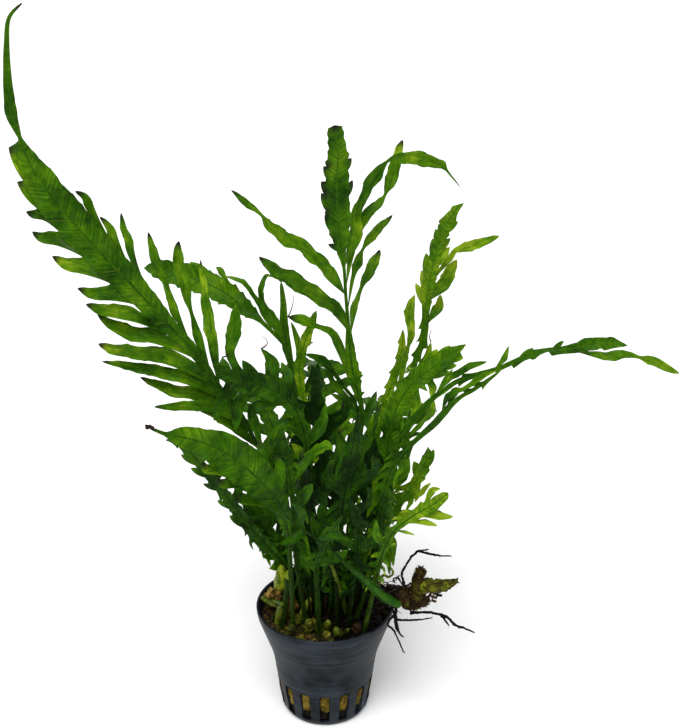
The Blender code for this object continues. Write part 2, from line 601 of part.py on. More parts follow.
# Stems drawn as round tubes of (across, down, depth, radius)
STEMS = {
    "rhizome": (
        (382, 599, -10, 1.6), (388, 594, -10, 3.0), (399, 594, -11, 3.2), (409, 598, -11, 4.4),
        (418, 599, -11, 4.2), (424, 600, -11, 2.6), (428, 600, -11, 1.0),
    ),
    "rhizome_tip": (
        (424.5, 584, -11, 2.4), (434, 586, -12, 2.7), (445, 585, -13, 2.3), (454, 582, -13, 1.2),
        (458, 580.5, -13, 0.4),
    ),
    "rhizome_bud": (
        (416, 586, -11, 2.0), (418, 578, -11, 2.2), (421, 571, -11, 2.1), (422.5, 568.5, -11, 1.2),
    ),
    "old_stalk_left": ((277, 625, -10, 1.1), (278, 615, -10, 1.1), (281, 605, -10, 0.9)),
    "old_stalk_curved": (
        (262, 597, 2, 0.9), (266, 600, 0, 1.1), (274, 604.5, -2, 1.1), (282, 605.5, -2, 1.0),
        (288, 603, -2, 0.7),
    ),
    "old_stalk_middle": ((301, 621, -8, 1.3), (304, 611, -8, 1.2), (311, 598, -8, 1.0)),
    "old_stalk_front": ((310, 631, -15, 1.7), (309, 624, -15, 1.8), (308, 619, -15, 1.0)),
    "old_stalk_right": ((337, 636, -19, 1.5), (336, 630, -19, 1.4), (335, 627, -19, 0.8)),
    "old_rhizome": ((290, 616, -8, 1.4), (289, 610, -8, 2.4), (288, 604, -8, 2.2), (288, 599, -8, 1.0)),
}


def seen(across, down, depth):
    """The point that the viewer sees at this place of the picture, depth millimetres behind the middle."""
    ray = (
        FORWARD
        + Vector((1.0, 0.0, 0.0)) * ((across - PICTURE_MIDDLE[0]) / PIXELS_PER_RADIAN)
        - UPWARD * ((down - PICTURE_MIDDLE[1]) / PIXELS_PER_RADIAN)
    )
    return EYE + ray * ((depth - EYE.y) / ray.y)


def picture(point):
    """Where the viewer sees a point: the inverse of seen."""
    ray = point - EYE
    ahead = ray.dot(FORWARD)
    return Vector(
        (
            PICTURE_MIDDLE[0] + PIXELS_PER_RADIAN * ray.x / ahead,
            PICTURE_MIDDLE[1] - PIXELS_PER_RADIAN * ray.dot(UPWARD) / ahead,
        )
    )


def bed_height(x, y):
    """The height of the wool's top, which rises in mounds where roots and old stalks push it up."""
    height = BED
    for across, back, rise, spread in MOUNDS:
        height += rise * math.exp(-((x - across) ** 2 + (y - back) ** 2) / spread**2)
    return height


def foot_of(frond):
    """Where a frond's stalk leaves the bed, as the start of its rib: nothing for one that lies free."""
    if "foot" not in frond:
        return []
    x, y = frond["foot"]
    return [(Vector((x, y, bed_height(x, y) + FOOT_GAP)), 0.9)]


def along(rib, place):
    """(point, half width) on a smooth curve through the rib's points, at a place counted in points."""
    index = min(int(place), len(rib) - 2)
    t = place - index
    near = [rib[min(max(index + step, 0), len(rib) - 1)] for step in (-1, 0, 1, 2)]
    a, b, c, d = (point for point, _ in near)
    point = 0.5 * (2 * b + (c - a) * t + (2 * a - 5 * b + 4 * c - d) * t**2 + (3 * b - a - 3 * c + d) * t**3)
    return point, near[1][1] + (near[2][1] - near[1][1]) * t


def drawn(frond):
    """A drawn frond as (rib, leaflets): points with half widths, and (rib place, points, widths, roll)."""
    wider = 1 / math.cos(math.radians(frond.get("turn", 0)))
    rib = foot_of(frond)
    rib += [(seen(across, down, depth), half * wider) for across, down, depth, half in frond["rib"]]
    steps = [step / 20 for step in range(20 * (len(rib) - 1) + 1)]
    on_picture = [picture(along(rib, step)[0]) for step in steps]
    leaves = []
    for number, (tip_depth, *points) in enumerate(frond["leaves"]):
        base = Vector(points[0][:2])
        place = min(zip(steps, on_picture), key=lambda pair: (pair[1] - base).length)[0]
        start = along(rib, place)[0]
        runs = [0.0]
        for before, after in zip(points, points[1:]):
            runs.append(runs[-1] + math.dist(before[:2], after[:2]))
        path = [start]
        path += [
            seen(across, down, start.y + tip_depth * run / runs[-1])
            for (across, down, _), run in zip(points[1:], runs[1:])
        ]
        roll = math.radians(ROLLS[number % len(ROLLS)])
        widths = [width / math.cos(roll) for _, _, width in points]
        leaves.append((place, path, widths, roll))
    return rib, leaves


def arching(foot, heading, reach, rise, pairs, longest):
    """A frond that rises and arches over, with leaflets that shorten to its tip, as (rib, leaflets)."""
    outward = Vector((math.cos(math.radians(heading)), math.sin(math.radians(heading)), 0.0))
    start = foot_of({"foot": foot})[0][0]
    rib = []
    for step in range(8):
        t = step / 7
        half = 0.8 + 2.6 * math.sin(math.pi * max(0.0, t - 0.3) / 0.7)
        climb = Vector((0.0, 0.0, rise * math.sin(2.1 * t) / 0.88))
        rib.append((start + outward * (reach * t**1.7) + climb, half))
    rib[-1] = (rib[-1][0], 0.4)
    leaves = []
    for pair in range(pairs):
        share = pair / (pairs - 1)
        place = 7 * (0.4 + 0.5 * share)
        length = longest * math.sin(math.pi * (0.3 + 0.6 * share))
        for side in (-1, 1):
            base = along(rib, place)[0]
            ahead = (along(rib, min(place + 0.1, 7.0))[0] - base).normalized()
            sideways = side * ahead.cross(Vector((0, 0, 1))).normalized()
            path = [base]
            for part in (0.5, 1.0):
                out = sideways * (0.8 * length * part) + ahead * (0.6 * length * part**1.5)
                path.append(base + out + Vector((0, 0, -0.2 * length * part**2)))
            leaves.append((place, path, [5.0, 4.6, 0.0], 0.0))
    return rib, leaves


def facing_of(degrees):
    """A function that gives the direction in which a blade faces away at a point: the viewer's, turned."""
    turn = Matrix.Rotation(math.radians(degrees), 3, "Z")
    return lambda point: turn @ (point - EYE).normalized()


class Shape:
    """Points and faces that grow into one closed mesh."""

    def __init__(self):
        self.points = []
        self.faces = []

    def add(self, *points):
        self.points += points
        return list(range(len(self.points) - len(points), len(self.points)))

    def fan(self, top, bottom, out_top, out_bottom, flip):
        """Joins a run of edge points to the low and high points of a leaflet's next ring."""
        faces = []
        middle = (len(top) - 1) // 2
        rising = math.dist(self.points[top[middle]], self.points[out_top[-1]])
        falling = math.dist(self.points[top[middle + 1]], self.points[out_top[0]])
        for i in range(len(top) - 1):
            for run, out, turned in ((top, out_top, False), (bottom, out_bottom, True)):
                if i != middle or out[0] == out[-1]:
                    cuts = [(run[i], out[0] if i <= middle else out[-1], run[i + 1])]
                elif rising < falling:
                    cuts = [(run[i], out[0], out[-1]), (run[i], out[-1], run[i + 1])]
                else:
                    cuts = [(run[i], out[0], run[i + 1]), (out[0], out[-1], run[i + 1])]
                faces += [cut[::-1] if turned else cut for cut in cuts]
        for low, sign in ((0, 1), (-1, -1)):
            wall = [out_top[low], top[low], bottom[low], out_bottom[low]]
            if out_top[low] == out_bottom[low]:
                wall.pop()
            faces.append(tuple(wall[::sign]))
        self.faces += [face[::-1] if flip else face for face in faces]

    def leaflet(self, top, bottom, leaf, facing, flip, margin=0.0):
        """Grows a flat leaflet out of a run of edge points. flip is for the rib's left side."""
        _, path, widths, roll = leaf
        for i in range(1, len(path)):
            if i == len(path) - 1:
                tip = self.add(path[i])
                self.fan(top, bottom, tip * 2, tip * 2, flip)
                return
            ahead = (path[i + 1] - path[i - 1]).normalized()
            across = ahead.cross(facing(path[i])).normalized() * (-1 if flip else 1)
            turn = Matrix.Rotation(roll * min(1.0, i / 2), 3, ahead)
            across = turn @ across
            front = turn @ -facing(path[i])
            lift = (front - ahead * front.dot(ahead)).normalized() * (LEAF_THICKNESS / 2 + margin)
            half = across * (widths[i] / 2 + margin)
            out_top = self.add(path[i] - half + lift, path[i] + half + lift)
            out_bottom = self.add(path[i] - half - lift, path[i] + half - lift)
            self.fan(top, bottom, out_top, out_bottom, flip)
            top, bottom = out_top, out_bottom


def frame_at(rib, place, facing):
    """(point, half width, across, lift) of the rib's flat bar at a place."""
    last = len(rib) - 1
    point, half = along(rib, place)
    ahead = (along(rib, min(place + 0.05, last))[0] - along(rib, max(place - 0.05, 0))[0]).normalized()
    across = facing(point).cross(ahead).normalized()
    share = min(1.0, place / (0.6 * last))
    thickness = STALK_THICKNESS + (RIB_THICKNESS - STALK_THICKNESS) * share
    return point, half, across, across.cross(ahead).normalized() * (thickness / 2)


def spans(rib, leaves, facing):
    """Where each leaflet sits on its side of the rib: {side: [(from place, to place, leaflet)]}, in order."""
    last = len(rib) - 1
    found = {-1: [], 1: []}
    for leaf in leaves:
        place, path, widths, _ = leaf
        point, _, across, _ = frame_at(rib, place, facing)
        speed = (along(rib, min(place + 0.1, last))[0] - along(rib, max(place - 0.1, 0))[0]).length / 0.2
        side = 1 if (path[1] - point).dot(across) > 0 else -1
        reach = max(widths[0], 0.8) / 2 / max(speed, 1e-6)
        found[side].append([max(place - reach, 0.02), min(place + reach, last - 0.02), leaf])
    for side, row in found.items():
        row.sort(key=lambda span: span[0] + span[1])
        for span in row:
            span[2] = beside(rib, span, side, facing)
        for before, after in zip(row, row[1:]):
            if before[1] > after[0]:
                before[1] = after[0] = (before[1] + after[0]) / 2
    return found


def beside(rib, span, side, facing):
    """The leaflet moved sideways where it would lie over its own rib's blade, with its base kept."""
    place, path, widths, roll = span[2]
    last = len(rib) - 1
    moved = [path[0]]
    for i in range(1, len(path)):
        point = path[i]
        near = min(
            (step / 10 for step in range(10 * last + 1)),
            key=lambda at: (along(rib, at)[0] - point).length,
        )
        centre, half, across, lift = frame_at(rib, near, facing)
        ahead = across.cross(lift.normalized())
        slant = abs((point - path[i - 1]).normalized().dot(ahead))
        needed = half + EDGE_GAP + widths[i] / 2 * slant
        short = needed - side * (point - centre).dot(across)
        if short > 0 and abs((point - centre).dot(ahead)) < 1.0 and abs((point - centre).dot(lift)) < 3.0:
            point = point + across * (side * short)
        moved.append(point)
    return (place, moved, widths, roll)


def leaf_tree(rib, span, side, facing, leaf, margin):
    """A leaflet alone, as a tree for clash tests: the part that stands free of its rib."""
    shape = Shape()
    rows = ([], [])
    for place in span[:2]:
        point, half, across, lift = frame_at(rib, place, facing)
        edge = point + across * (side * half)
        lift = lift.normalized() * (LEAF_THICKNESS / 2 + margin)
        rows[0].append(edge + lift)
        rows[1].append(edge - lift)
    top = shape.add(*rows[0])
    bottom = shape.add(*rows[1])
    shape.leaflet(top, bottom, leaf, facing, side < 0, margin)
    return BVHTree.FromPolygons(shape.points, shape.faces)


def rib_shape(rib, rows, facing, shape, margin=0.0):
    """The rib as rings of a flat bar, one ring at each point and at each leaflet's edges."""
    last = len(rib) - 1
    places = {round(end, 4) for row in rows.values() for span in row for end in span[:2]}
    places |= {0.0, float(last)}
    for whole in range(1, last):
        if min(abs(whole - place) for place in places) > 0.12:
            places.add(float(whole))
    places = sorted(places)
    rings = []
    for place in places:
        point, half, across, lift = frame_at(rib, place, facing)
        side = across * (max(half, 0.2) + margin)
        lift = lift.normalized() * (lift.length + margin)
        ring = [point - side + lift, point - side - lift, point + side + lift, point + side - lift]
        if place == 0.0 and not margin:
            ring = [Vector((corner.x, corner.y, max(corner.z, point.z))) for corner in ring]
        rings.append(shape.add(*ring))
    return places, rings


def grow(rib, leaves, facing):
    """The whole frond as one closed shape."""
    shape = Shape()
    rows = spans(rib, leaves, facing)
    places, rings = rib_shape(rib, rows, facing, shape)
    open_walls = set()
    for side, row in rows.items():
        for start, end, leaf in row:
            first = places.index(round(start, 4))
            final = places.index(round(end, 4))
            if final <= first:
                continue
            open_walls |= {(side, i) for i in range(first, final)}
            offset = 2 if side > 0 else 0
            top = [rings[i][offset] for i in range(first, final + 1)]
            bottom = [rings[i][offset + 1] for i in range(first, final + 1)]
            shape.leaflet(top, bottom, leaf, facing, side < 0)
    for i in range(len(rings) - 1):
        left_top, left_low, right_top, right_low = rings[i]
        next_left_top, next_left_low, next_right_top, next_right_low = rings[i + 1]
        shape.faces.append((left_top, right_top, next_right_top))
        shape.faces.append((left_top, next_right_top, next_left_top))
        shape.faces.append((next_right_low, right_low, left_low))
        shape.faces.append((next_left_low, next_right_low, left_low))
        if (1, i) not in open_walls:
            shape.faces.append((right_top, right_low, next_right_low, next_right_top))
        if (-1, i) not in open_walls:
            shape.faces.append((next_left_top, next_left_low, left_low, left_top))
    for ring, sign in ((rings[0], 1), (rings[-1], -1)):
        left_top, left_low, right_top, right_low = ring
        shape.faces.append((left_top, left_low, right_low, right_top)[::sign])
    return shape


def rib_tree(rib, facing, margin):
    """The rib alone, as a tree for clash tests."""
    shape = Shape()
    _, rings = rib_shape(rib, {}, facing, shape, margin)
    for ring, after in zip(rings, rings[1:]):
        for a, b in ((0, 2), (3, 1), (2, 3), (1, 0)):
            shape.faces.append((ring[a], ring[b], after[b], after[a]))
    shape.faces.append(tuple(rings[0][i] for i in (0, 1, 3, 2)))
    shape.faces.append(tuple(rings[-1][i] for i in (2, 3, 1, 0)))
    return BVHTree.FromPolygons(shape.points, shape.faces)


def swung(leaf, swing, share):
    """The leaflet cut to a share of its length, with its tip moved along the viewer's line of sight."""
    place, path, widths, roll = leaf
    cut = []
    for i, point in enumerate(path):
        at = path[0] + (point - path[0]) * share
        bend = i / (len(path) - 1)
        ray = at - EYE
        cut.append(EYE + ray * (1 + swing * bend / ray.y))
    return (place, cut, widths, roll)


def settle(fronds, solid):
    """Swings each leaflet until it clears every rib and every leaflet placed before it, or leaves it out."""
    trees = {name: [rib_tree(rib, facing, GAP)] for name, (rib, _, facing) in fronds.items()}
    trees["solid"] = solid
    settled = {}
    for name, (rib, leaves, facing) in fronds.items():
        others = [tree for other, group in trees.items() if other != name for tree in group]
        own = []
        kept = []
        for side, row in spans(rib, leaves, facing).items():
            for span in row:
                for share, swing in ((share, swing) for share in SHORTER for swing in SWINGS):
                    moved = swung(span[2], swing, share)
                    tree = leaf_tree(rib, span, side, facing, moved, GAP)
                    if any(tree.overlap(other) for other in others):
                        continue
                    own.append(tree)
                    kept.append(moved)
                    break
        trees[name] += own
        settled[name] = (rib, kept, facing)
    return settled


def finish(name, colour, roughness):
    """A plain material in the part's own colour."""
    material = bpy.data.materials.new(name)
    material.use_nodes = True
    shader = material.node_tree.nodes["Principled BSDF"]
    shader.inputs["Base Color"].default_value = (*colour, 1.0)
    shader.inputs["Roughness"].default_value = roughness
    return material


def make_object(name, points, faces, material):
    """An object in metres from points in millimetres, with its faces turned outwards."""
    mesh = bpy.data.meshes.new(name)
    mesh.from_pydata([point * METRES for point in points], [], faces)
    work = bmesh.new()
    work.from_mesh(mesh)
    bmesh.ops.recalc_face_normals(work, faces=work.faces)
    if work.calc_volume(signed=True) < 0:
        bmesh.ops.reverse_faces(work, faces=work.faces)
    work.to_mesh(mesh)
    work.free()
    mesh.materials.append(material)
    made = bpy.data.objects.new(name, mesh)
    bpy.context.scene.collection.objects.link(made)
    return made


def rings_and_caps(sides, count):
    """The faces of a closed round form: rings of points joined in order, with a cap at each end."""
    faces = []
    for ring in range(count - 1):
        for side in range(sides):
            after = (side + 1) % sides
            low = ring * sides
            high = low + sides
            faces.append((low + side, low + after, high + after, high + side))
    faces.append(tuple(range(sides)))
    faces.append(tuple(range((count - 1) * sides, count * sides)))
    return faces


def tube(path, radii, sides, margin=0.0):
    """(points, faces) of a closed round stem through points, with a radius at each."""
    points = []
    for i, (centre, radius) in enumerate(zip(path, radii)):
        ahead = (path[min(i + 1, len(path) - 1)] - path[max(i - 1, 0)]).normalized()
        across = ahead.cross(Vector((0.0, 1.0, 0.0))).normalized()
        other = ahead.cross(across)
        for side in range(sides):
            angle = 2 * math.pi * side / sides
            points.append(centre + (across * math.cos(angle) + other * math.sin(angle)) * (radius + margin))
    return points, rings_and_caps(sides, len(path))


def radius_at(height):
    """The pot's outer radius at a height."""
    for (low, low_radius), (high, high_radius) in zip(POT_OUTLINE, POT_OUTLINE[1:]):
        if low <= height <= high:
            return low_radius + (high_radius - low_radius) * (height - low) / (high - low)
    return RIM_RADIUS


def make_pot(material):
    """The pot: an outer and an inner wall in columns, with every second column open in the slot rows."""
    columns = 2 * SLOTS
    outer = list(POT_OUTLINE)
    inner = [(height, radius - POT_WALL) for height, radius in outer[::-1] if height >= SLOT_FLOOR]
    inner.append((POT_FLOOR, radius_at(POT_FLOOR) - POT_WALL))
    rings = outer + inner
    half_slot = math.pi * SLOT_SHARE / SLOTS
    points = []
    for height, radius in rings:
        for column in range(columns):
            middle = 2 * math.pi * (column // 2) / SLOTS - math.pi / 2
            angle = middle + (half_slot if column % 2 else -half_slot)
            points.append(Vector((radius * math.cos(angle), radius * math.sin(angle), height)))

    def at(ring, column):
        return ring * columns + column % columns

    def quad(ring, other, column):
        return (at(ring, column), at(ring, column + 1), at(other, column + 1), at(other, column))

    slot_rings = [i for i, (height, _) in enumerate(rings) if height in (SLOT_FLOOR, SLOT_TOP)]
    out_low, out_high, in_high, in_low = slot_rings
    faces = []
    for ring in range(len(rings) - 1):
        for column in range(columns):
            if column % 2 == 0 and ring in (out_low, in_high):
                continue
            faces.append(quad(ring, ring + 1, column))
    for column in range(0, columns, 2):
        faces.append(tuple(at(ring, column) for ring in (out_low, out_high, in_high, in_low)))
        faces.append(tuple(at(ring, column + 1) for ring in (in_low, in_high, out_high, out_low)))
        for outside, inside in ((out_low, in_low), (out_high, in_high)):
            faces.append(quad(outside, inside, column))
    last = (len(rings) - 1) * columns
    faces.append(tuple(range(columns)))
    faces.append(tuple(range(last, last + columns)))
    make_object("pot", points, faces, material)


def make_plug(material):
    """The mineral wool: a tapered plug that keeps a gap to the pot, with a bed that rises in mounds."""
    sides = 20
    heights = (POT_FLOOR + GAP, SLOT_FLOOR, SLOT_TOP, 25.0, 29.0)
    rings = [(radius_at(height) - POT_WALL - 0.5, lambda x, y, height=height: height) for height in heights]
    rings += [(radius, bed_height) for radius in BED_RINGS]
    points = []
    for radius, height in rings:
        for side in range(sides):
            angle = 2 * math.pi * (side + 0.5) / sides
            x = radius * math.cos(angle)
            y = radius * math.sin(angle)
            points.append(Vector((x, y, height(x, y))))
    faces = rings_and_caps(sides, len(rings))
    faces.pop()
    points.append(Vector((0.0, 0.0, bed_height(0.0, 0.0))))
    last = len(points) - 1 - sides
    faces += [(last + side, last + (side + 1) % sides, len(points) - 1) for side in range(sides)]
    make_object("rockwool_plug", points, faces, material)


def make_plants(materials):
    """Stems first, then every frond and root, settled so that none cuts another."""
    solid = []
    for name, stem in STEMS.items():
        path = [seen(across, down, depth) for across, down, depth, _ in stem]
        radii = [radius for *_, radius in stem]
        points, faces = tube(path, radii, 6)
        make_object(name, points, faces, materials["rhizome" if "rhizome" in name else "stalk"])
        solid.append(BVHTree.FromPolygons(*tube(path, radii, 6, GAP)))
    plans = {}
    for name, frond in (FRONDS | ROOTS).items():
        rib, leaves = drawn(frond)
        plans[name] = (rib, leaves, facing_of(frond.get("turn", 0)))
    for name, rule in ARCHING.items():
        rib, leaves = arching(*rule)
        heading = math.radians(rule[1])
        away = Vector((math.cos(heading), math.sin(heading), -1.0)).normalized()
        plans[name] = (rib, leaves, lambda point, away=away: away)
    for name, (rib, leaves, facing) in settle(plans, solid).items():
        shape = grow(rib, leaves, facing)
        kind = "leaf"
        if name in ROOTS or name in FRONDS:
            young = (FRONDS | ROOTS)[name].get("young")
            kind = "young" if young else "root" if name in ROOTS else "leaf"
        make_object(name, shape.points, shape.faces, materials[kind])


def main():
    for old in list(bpy.data.objects):
        bpy.data.objects.remove(old, do_unlink=True)
    materials = {
        "leaf": finish("leaf_green", (0.05, 0.17, 0.01), 0.5),
        "young": finish("young_leaf_green", (0.18, 0.33, 0.02), 0.5),
        "stalk": finish("old_stalk_green", (0.20, 0.24, 0.03), 0.6),
        "pot": finish("pot_grey", (0.045, 0.055, 0.065), 0.45),
        "wool": finish("wool_brown", (0.16, 0.11, 0.03), 0.95),
        "root": finish("root_black", (0.012, 0.009, 0.006), 0.8),
        "rhizome": finish("rhizome_olive", (0.07, 0.08, 0.015), 0.7),
    }
    make_pot(materials["pot"])
    make_plug(materials["wool"])
    make_plants(materials)


main()
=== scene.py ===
"""Looks for the african water fern: fine leaves, pot, wool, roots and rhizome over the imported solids.

Lengths are millimetres until a mesh is made, and Blender gets metres. The fronds repeat the points and the
layout rules of the part's source, so that every leaf lies where its solid is.
"""

import bisect
import math
import random

import bpy
import numpy as np
from mathutils import Matrix, Vector, kdtree, noise
from mathutils.bvhtree import BVHTree


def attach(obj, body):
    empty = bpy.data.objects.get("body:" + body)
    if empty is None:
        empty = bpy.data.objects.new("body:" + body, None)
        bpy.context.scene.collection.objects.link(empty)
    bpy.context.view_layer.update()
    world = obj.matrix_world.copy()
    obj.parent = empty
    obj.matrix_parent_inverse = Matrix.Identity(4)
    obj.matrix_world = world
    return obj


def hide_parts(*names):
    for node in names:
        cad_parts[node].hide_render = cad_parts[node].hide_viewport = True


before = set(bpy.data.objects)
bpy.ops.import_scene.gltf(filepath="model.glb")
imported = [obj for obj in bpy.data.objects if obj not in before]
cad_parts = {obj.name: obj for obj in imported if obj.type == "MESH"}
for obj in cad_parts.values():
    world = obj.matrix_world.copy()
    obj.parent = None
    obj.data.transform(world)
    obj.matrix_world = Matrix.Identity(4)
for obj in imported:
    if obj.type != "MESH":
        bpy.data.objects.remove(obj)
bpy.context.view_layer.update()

METRES = 0.001
TURN = 2 * math.pi

# The space that every solid keeps to its neighbours, the height of a stalk's cut end above the bed, and how
# far a leaflet keeps outside the edge of its own blade
GAP = 0.3
FOOT_GAP = 0.9
EDGE_GAP = 0.5

# The smaller spaces that lobes and small fronds keep to what is there
LOBE_GAP = 0.1
FILLER_GAP = 0.15

# The pot: a 5 cm net pot with a 54 mm rim and 15 slots, and its outline as (height, radius)
POT_HEIGHT = 47.0
RIM_RADIUS = 27.2
POT_WALL = 1.0
SLOTS = 15
SLOT_SHARE = 0.53
POT_FLOOR = 1.2
SLOT_FLOOR = 2.4
SLOT_TOP = 16.0
POT_OUTLINE = (
    (0.0, 15.6), (1.0, 16.8), (SLOT_FLOOR, 17.6), (SLOT_TOP, 19.5), (25.0, 20.7), (29.0, 21.7), (44.0, 27.0),
    (POT_HEIGHT, RIM_RADIUS),
)

# The bed: its height at the edge, and its mounds as (across, back, rise, spread)
BED = 41.5
MOUNDS = ((16.0, -3.0, 6.0, 7.0), (-12.0, -5.0, 2.5, 7.0))

# The viewer in front of the plant, and the scale of the picture the fronds are drawn in
EYE = Vector((6.0, -418.0, 321.6))
LOOK_DOWN = math.radians(22.38)
PIXELS_PER_RADIAN = 1236.0
PICTURE_MIDDLE = (340.0, 364.0)
FORWARD = Vector((0.0, math.cos(LOOK_DOWN), -math.sin(LOOK_DOWN)))
UPWARD = Vector((0.0, math.sin(LOOK_DOWN), math.cos(LOOK_DOWN)))

# Thickness of the solids, how each leaflet in turn rolls about its own line in degrees, and how far it may
# swing or shrink to clear what is already there
STALK_THICKNESS = 1.6
RIB_THICKNESS = 0.9
LEAF_THICKNESS = 0.6
ROLLS = (24, -18, 32, -28, 12)
SWINGS = (0, 3, -3, 6, -6, 9, -9, 12, -12, 16, -16, 20, -20)
LOBE_SWINGS = [0.6 * swing for swing in SWINGS[:7]]
SHORTER = (1.0, 0.75, 0.5)

# Spacing of a leaf's rows of points, half its thickness, and the radius of a vein at its start and its tip
ROW = 0.8
LEAF_HALF = 0.13
VEIN_HALF = 0.19
VEIN_TIP = 0.06

# Radius of a midrib at its start and at its tip
STALK_CORE = 0.8
TIP_CORE = 0.2

# Half width from which a rib has a blade, width from which a leaflet is a broad one, how far down the frond
# veins start for each millimetre sideways, and how deep stalks and roots go into what carries them
BLADE_HALF = 1.2
BROAD = 4
VEIN_SLOPE = 0.9
SUNK = 2.2

# Where the random draws start
SEED = 41

# Spacing of the saw teeth, and their height on a blade's edge and on a leaflet's where a frond doesn't say
TOOTH_PITCH = 3.9
PLAIN_TEETH = (1.7, 0.9)

# The lowest place in the picture of lobes, which leave the bed in sight
LOBES_END = 594

# A place far from the plant as (across, down, depth), for leaves that have no dark tips
FAR_OFF = (0, 0, 0)

# Small fronds that fill the middle of the plant: how many, how high they rise, how light they are, and how
# many places are tried for them. Their dark tones are partly their own deeper green and partly painted
# shade of the middle of the clump
FILLERS = 44
FILLER_HEIGHTS = (16.0, 64.0)
FILLER_TONES_AND_SHADE = (-0.32, 0.40)
FILLER_TRIES = 1500

# More of them that lean out to the front, how high they rise, and how near the rim small fronds still stand:
# to the front and all round
FRONT_FILLERS = 26
FRONT_HEIGHTS = (22.0, 48.0)
FRONT_ROW = -9.5
FILLER_REACH = 22.5

# Places where the viewer sees through the plant, as boxes of the picture, which small growth leaves open
OPEN = (
    (257, 404, 269, 424), (270, 405, 289, 426), (256, 429, 267, 454), (286, 350, 305, 394),
    (321, 379, 331, 399), (335, 399, 351, 433), (365, 415, 378, 437), (399, 396, 406, 421),
    (346, 464, 356, 481), (300, 399, 306, 411), (408, 430, 470, 470), (418, 470, 470, 500),
    (366, 300, 396, 372), (312, 411, 323, 440), (428, 395, 470, 430), (236, 428, 246, 443),
    (344, 388, 358, 403), (381, 430, 390, 446), (319, 492, 327, 507), (239, 499, 249, 512),
    (283, 499, 291, 512), (335, 444, 343, 456), (266, 568, 292, 592),
)
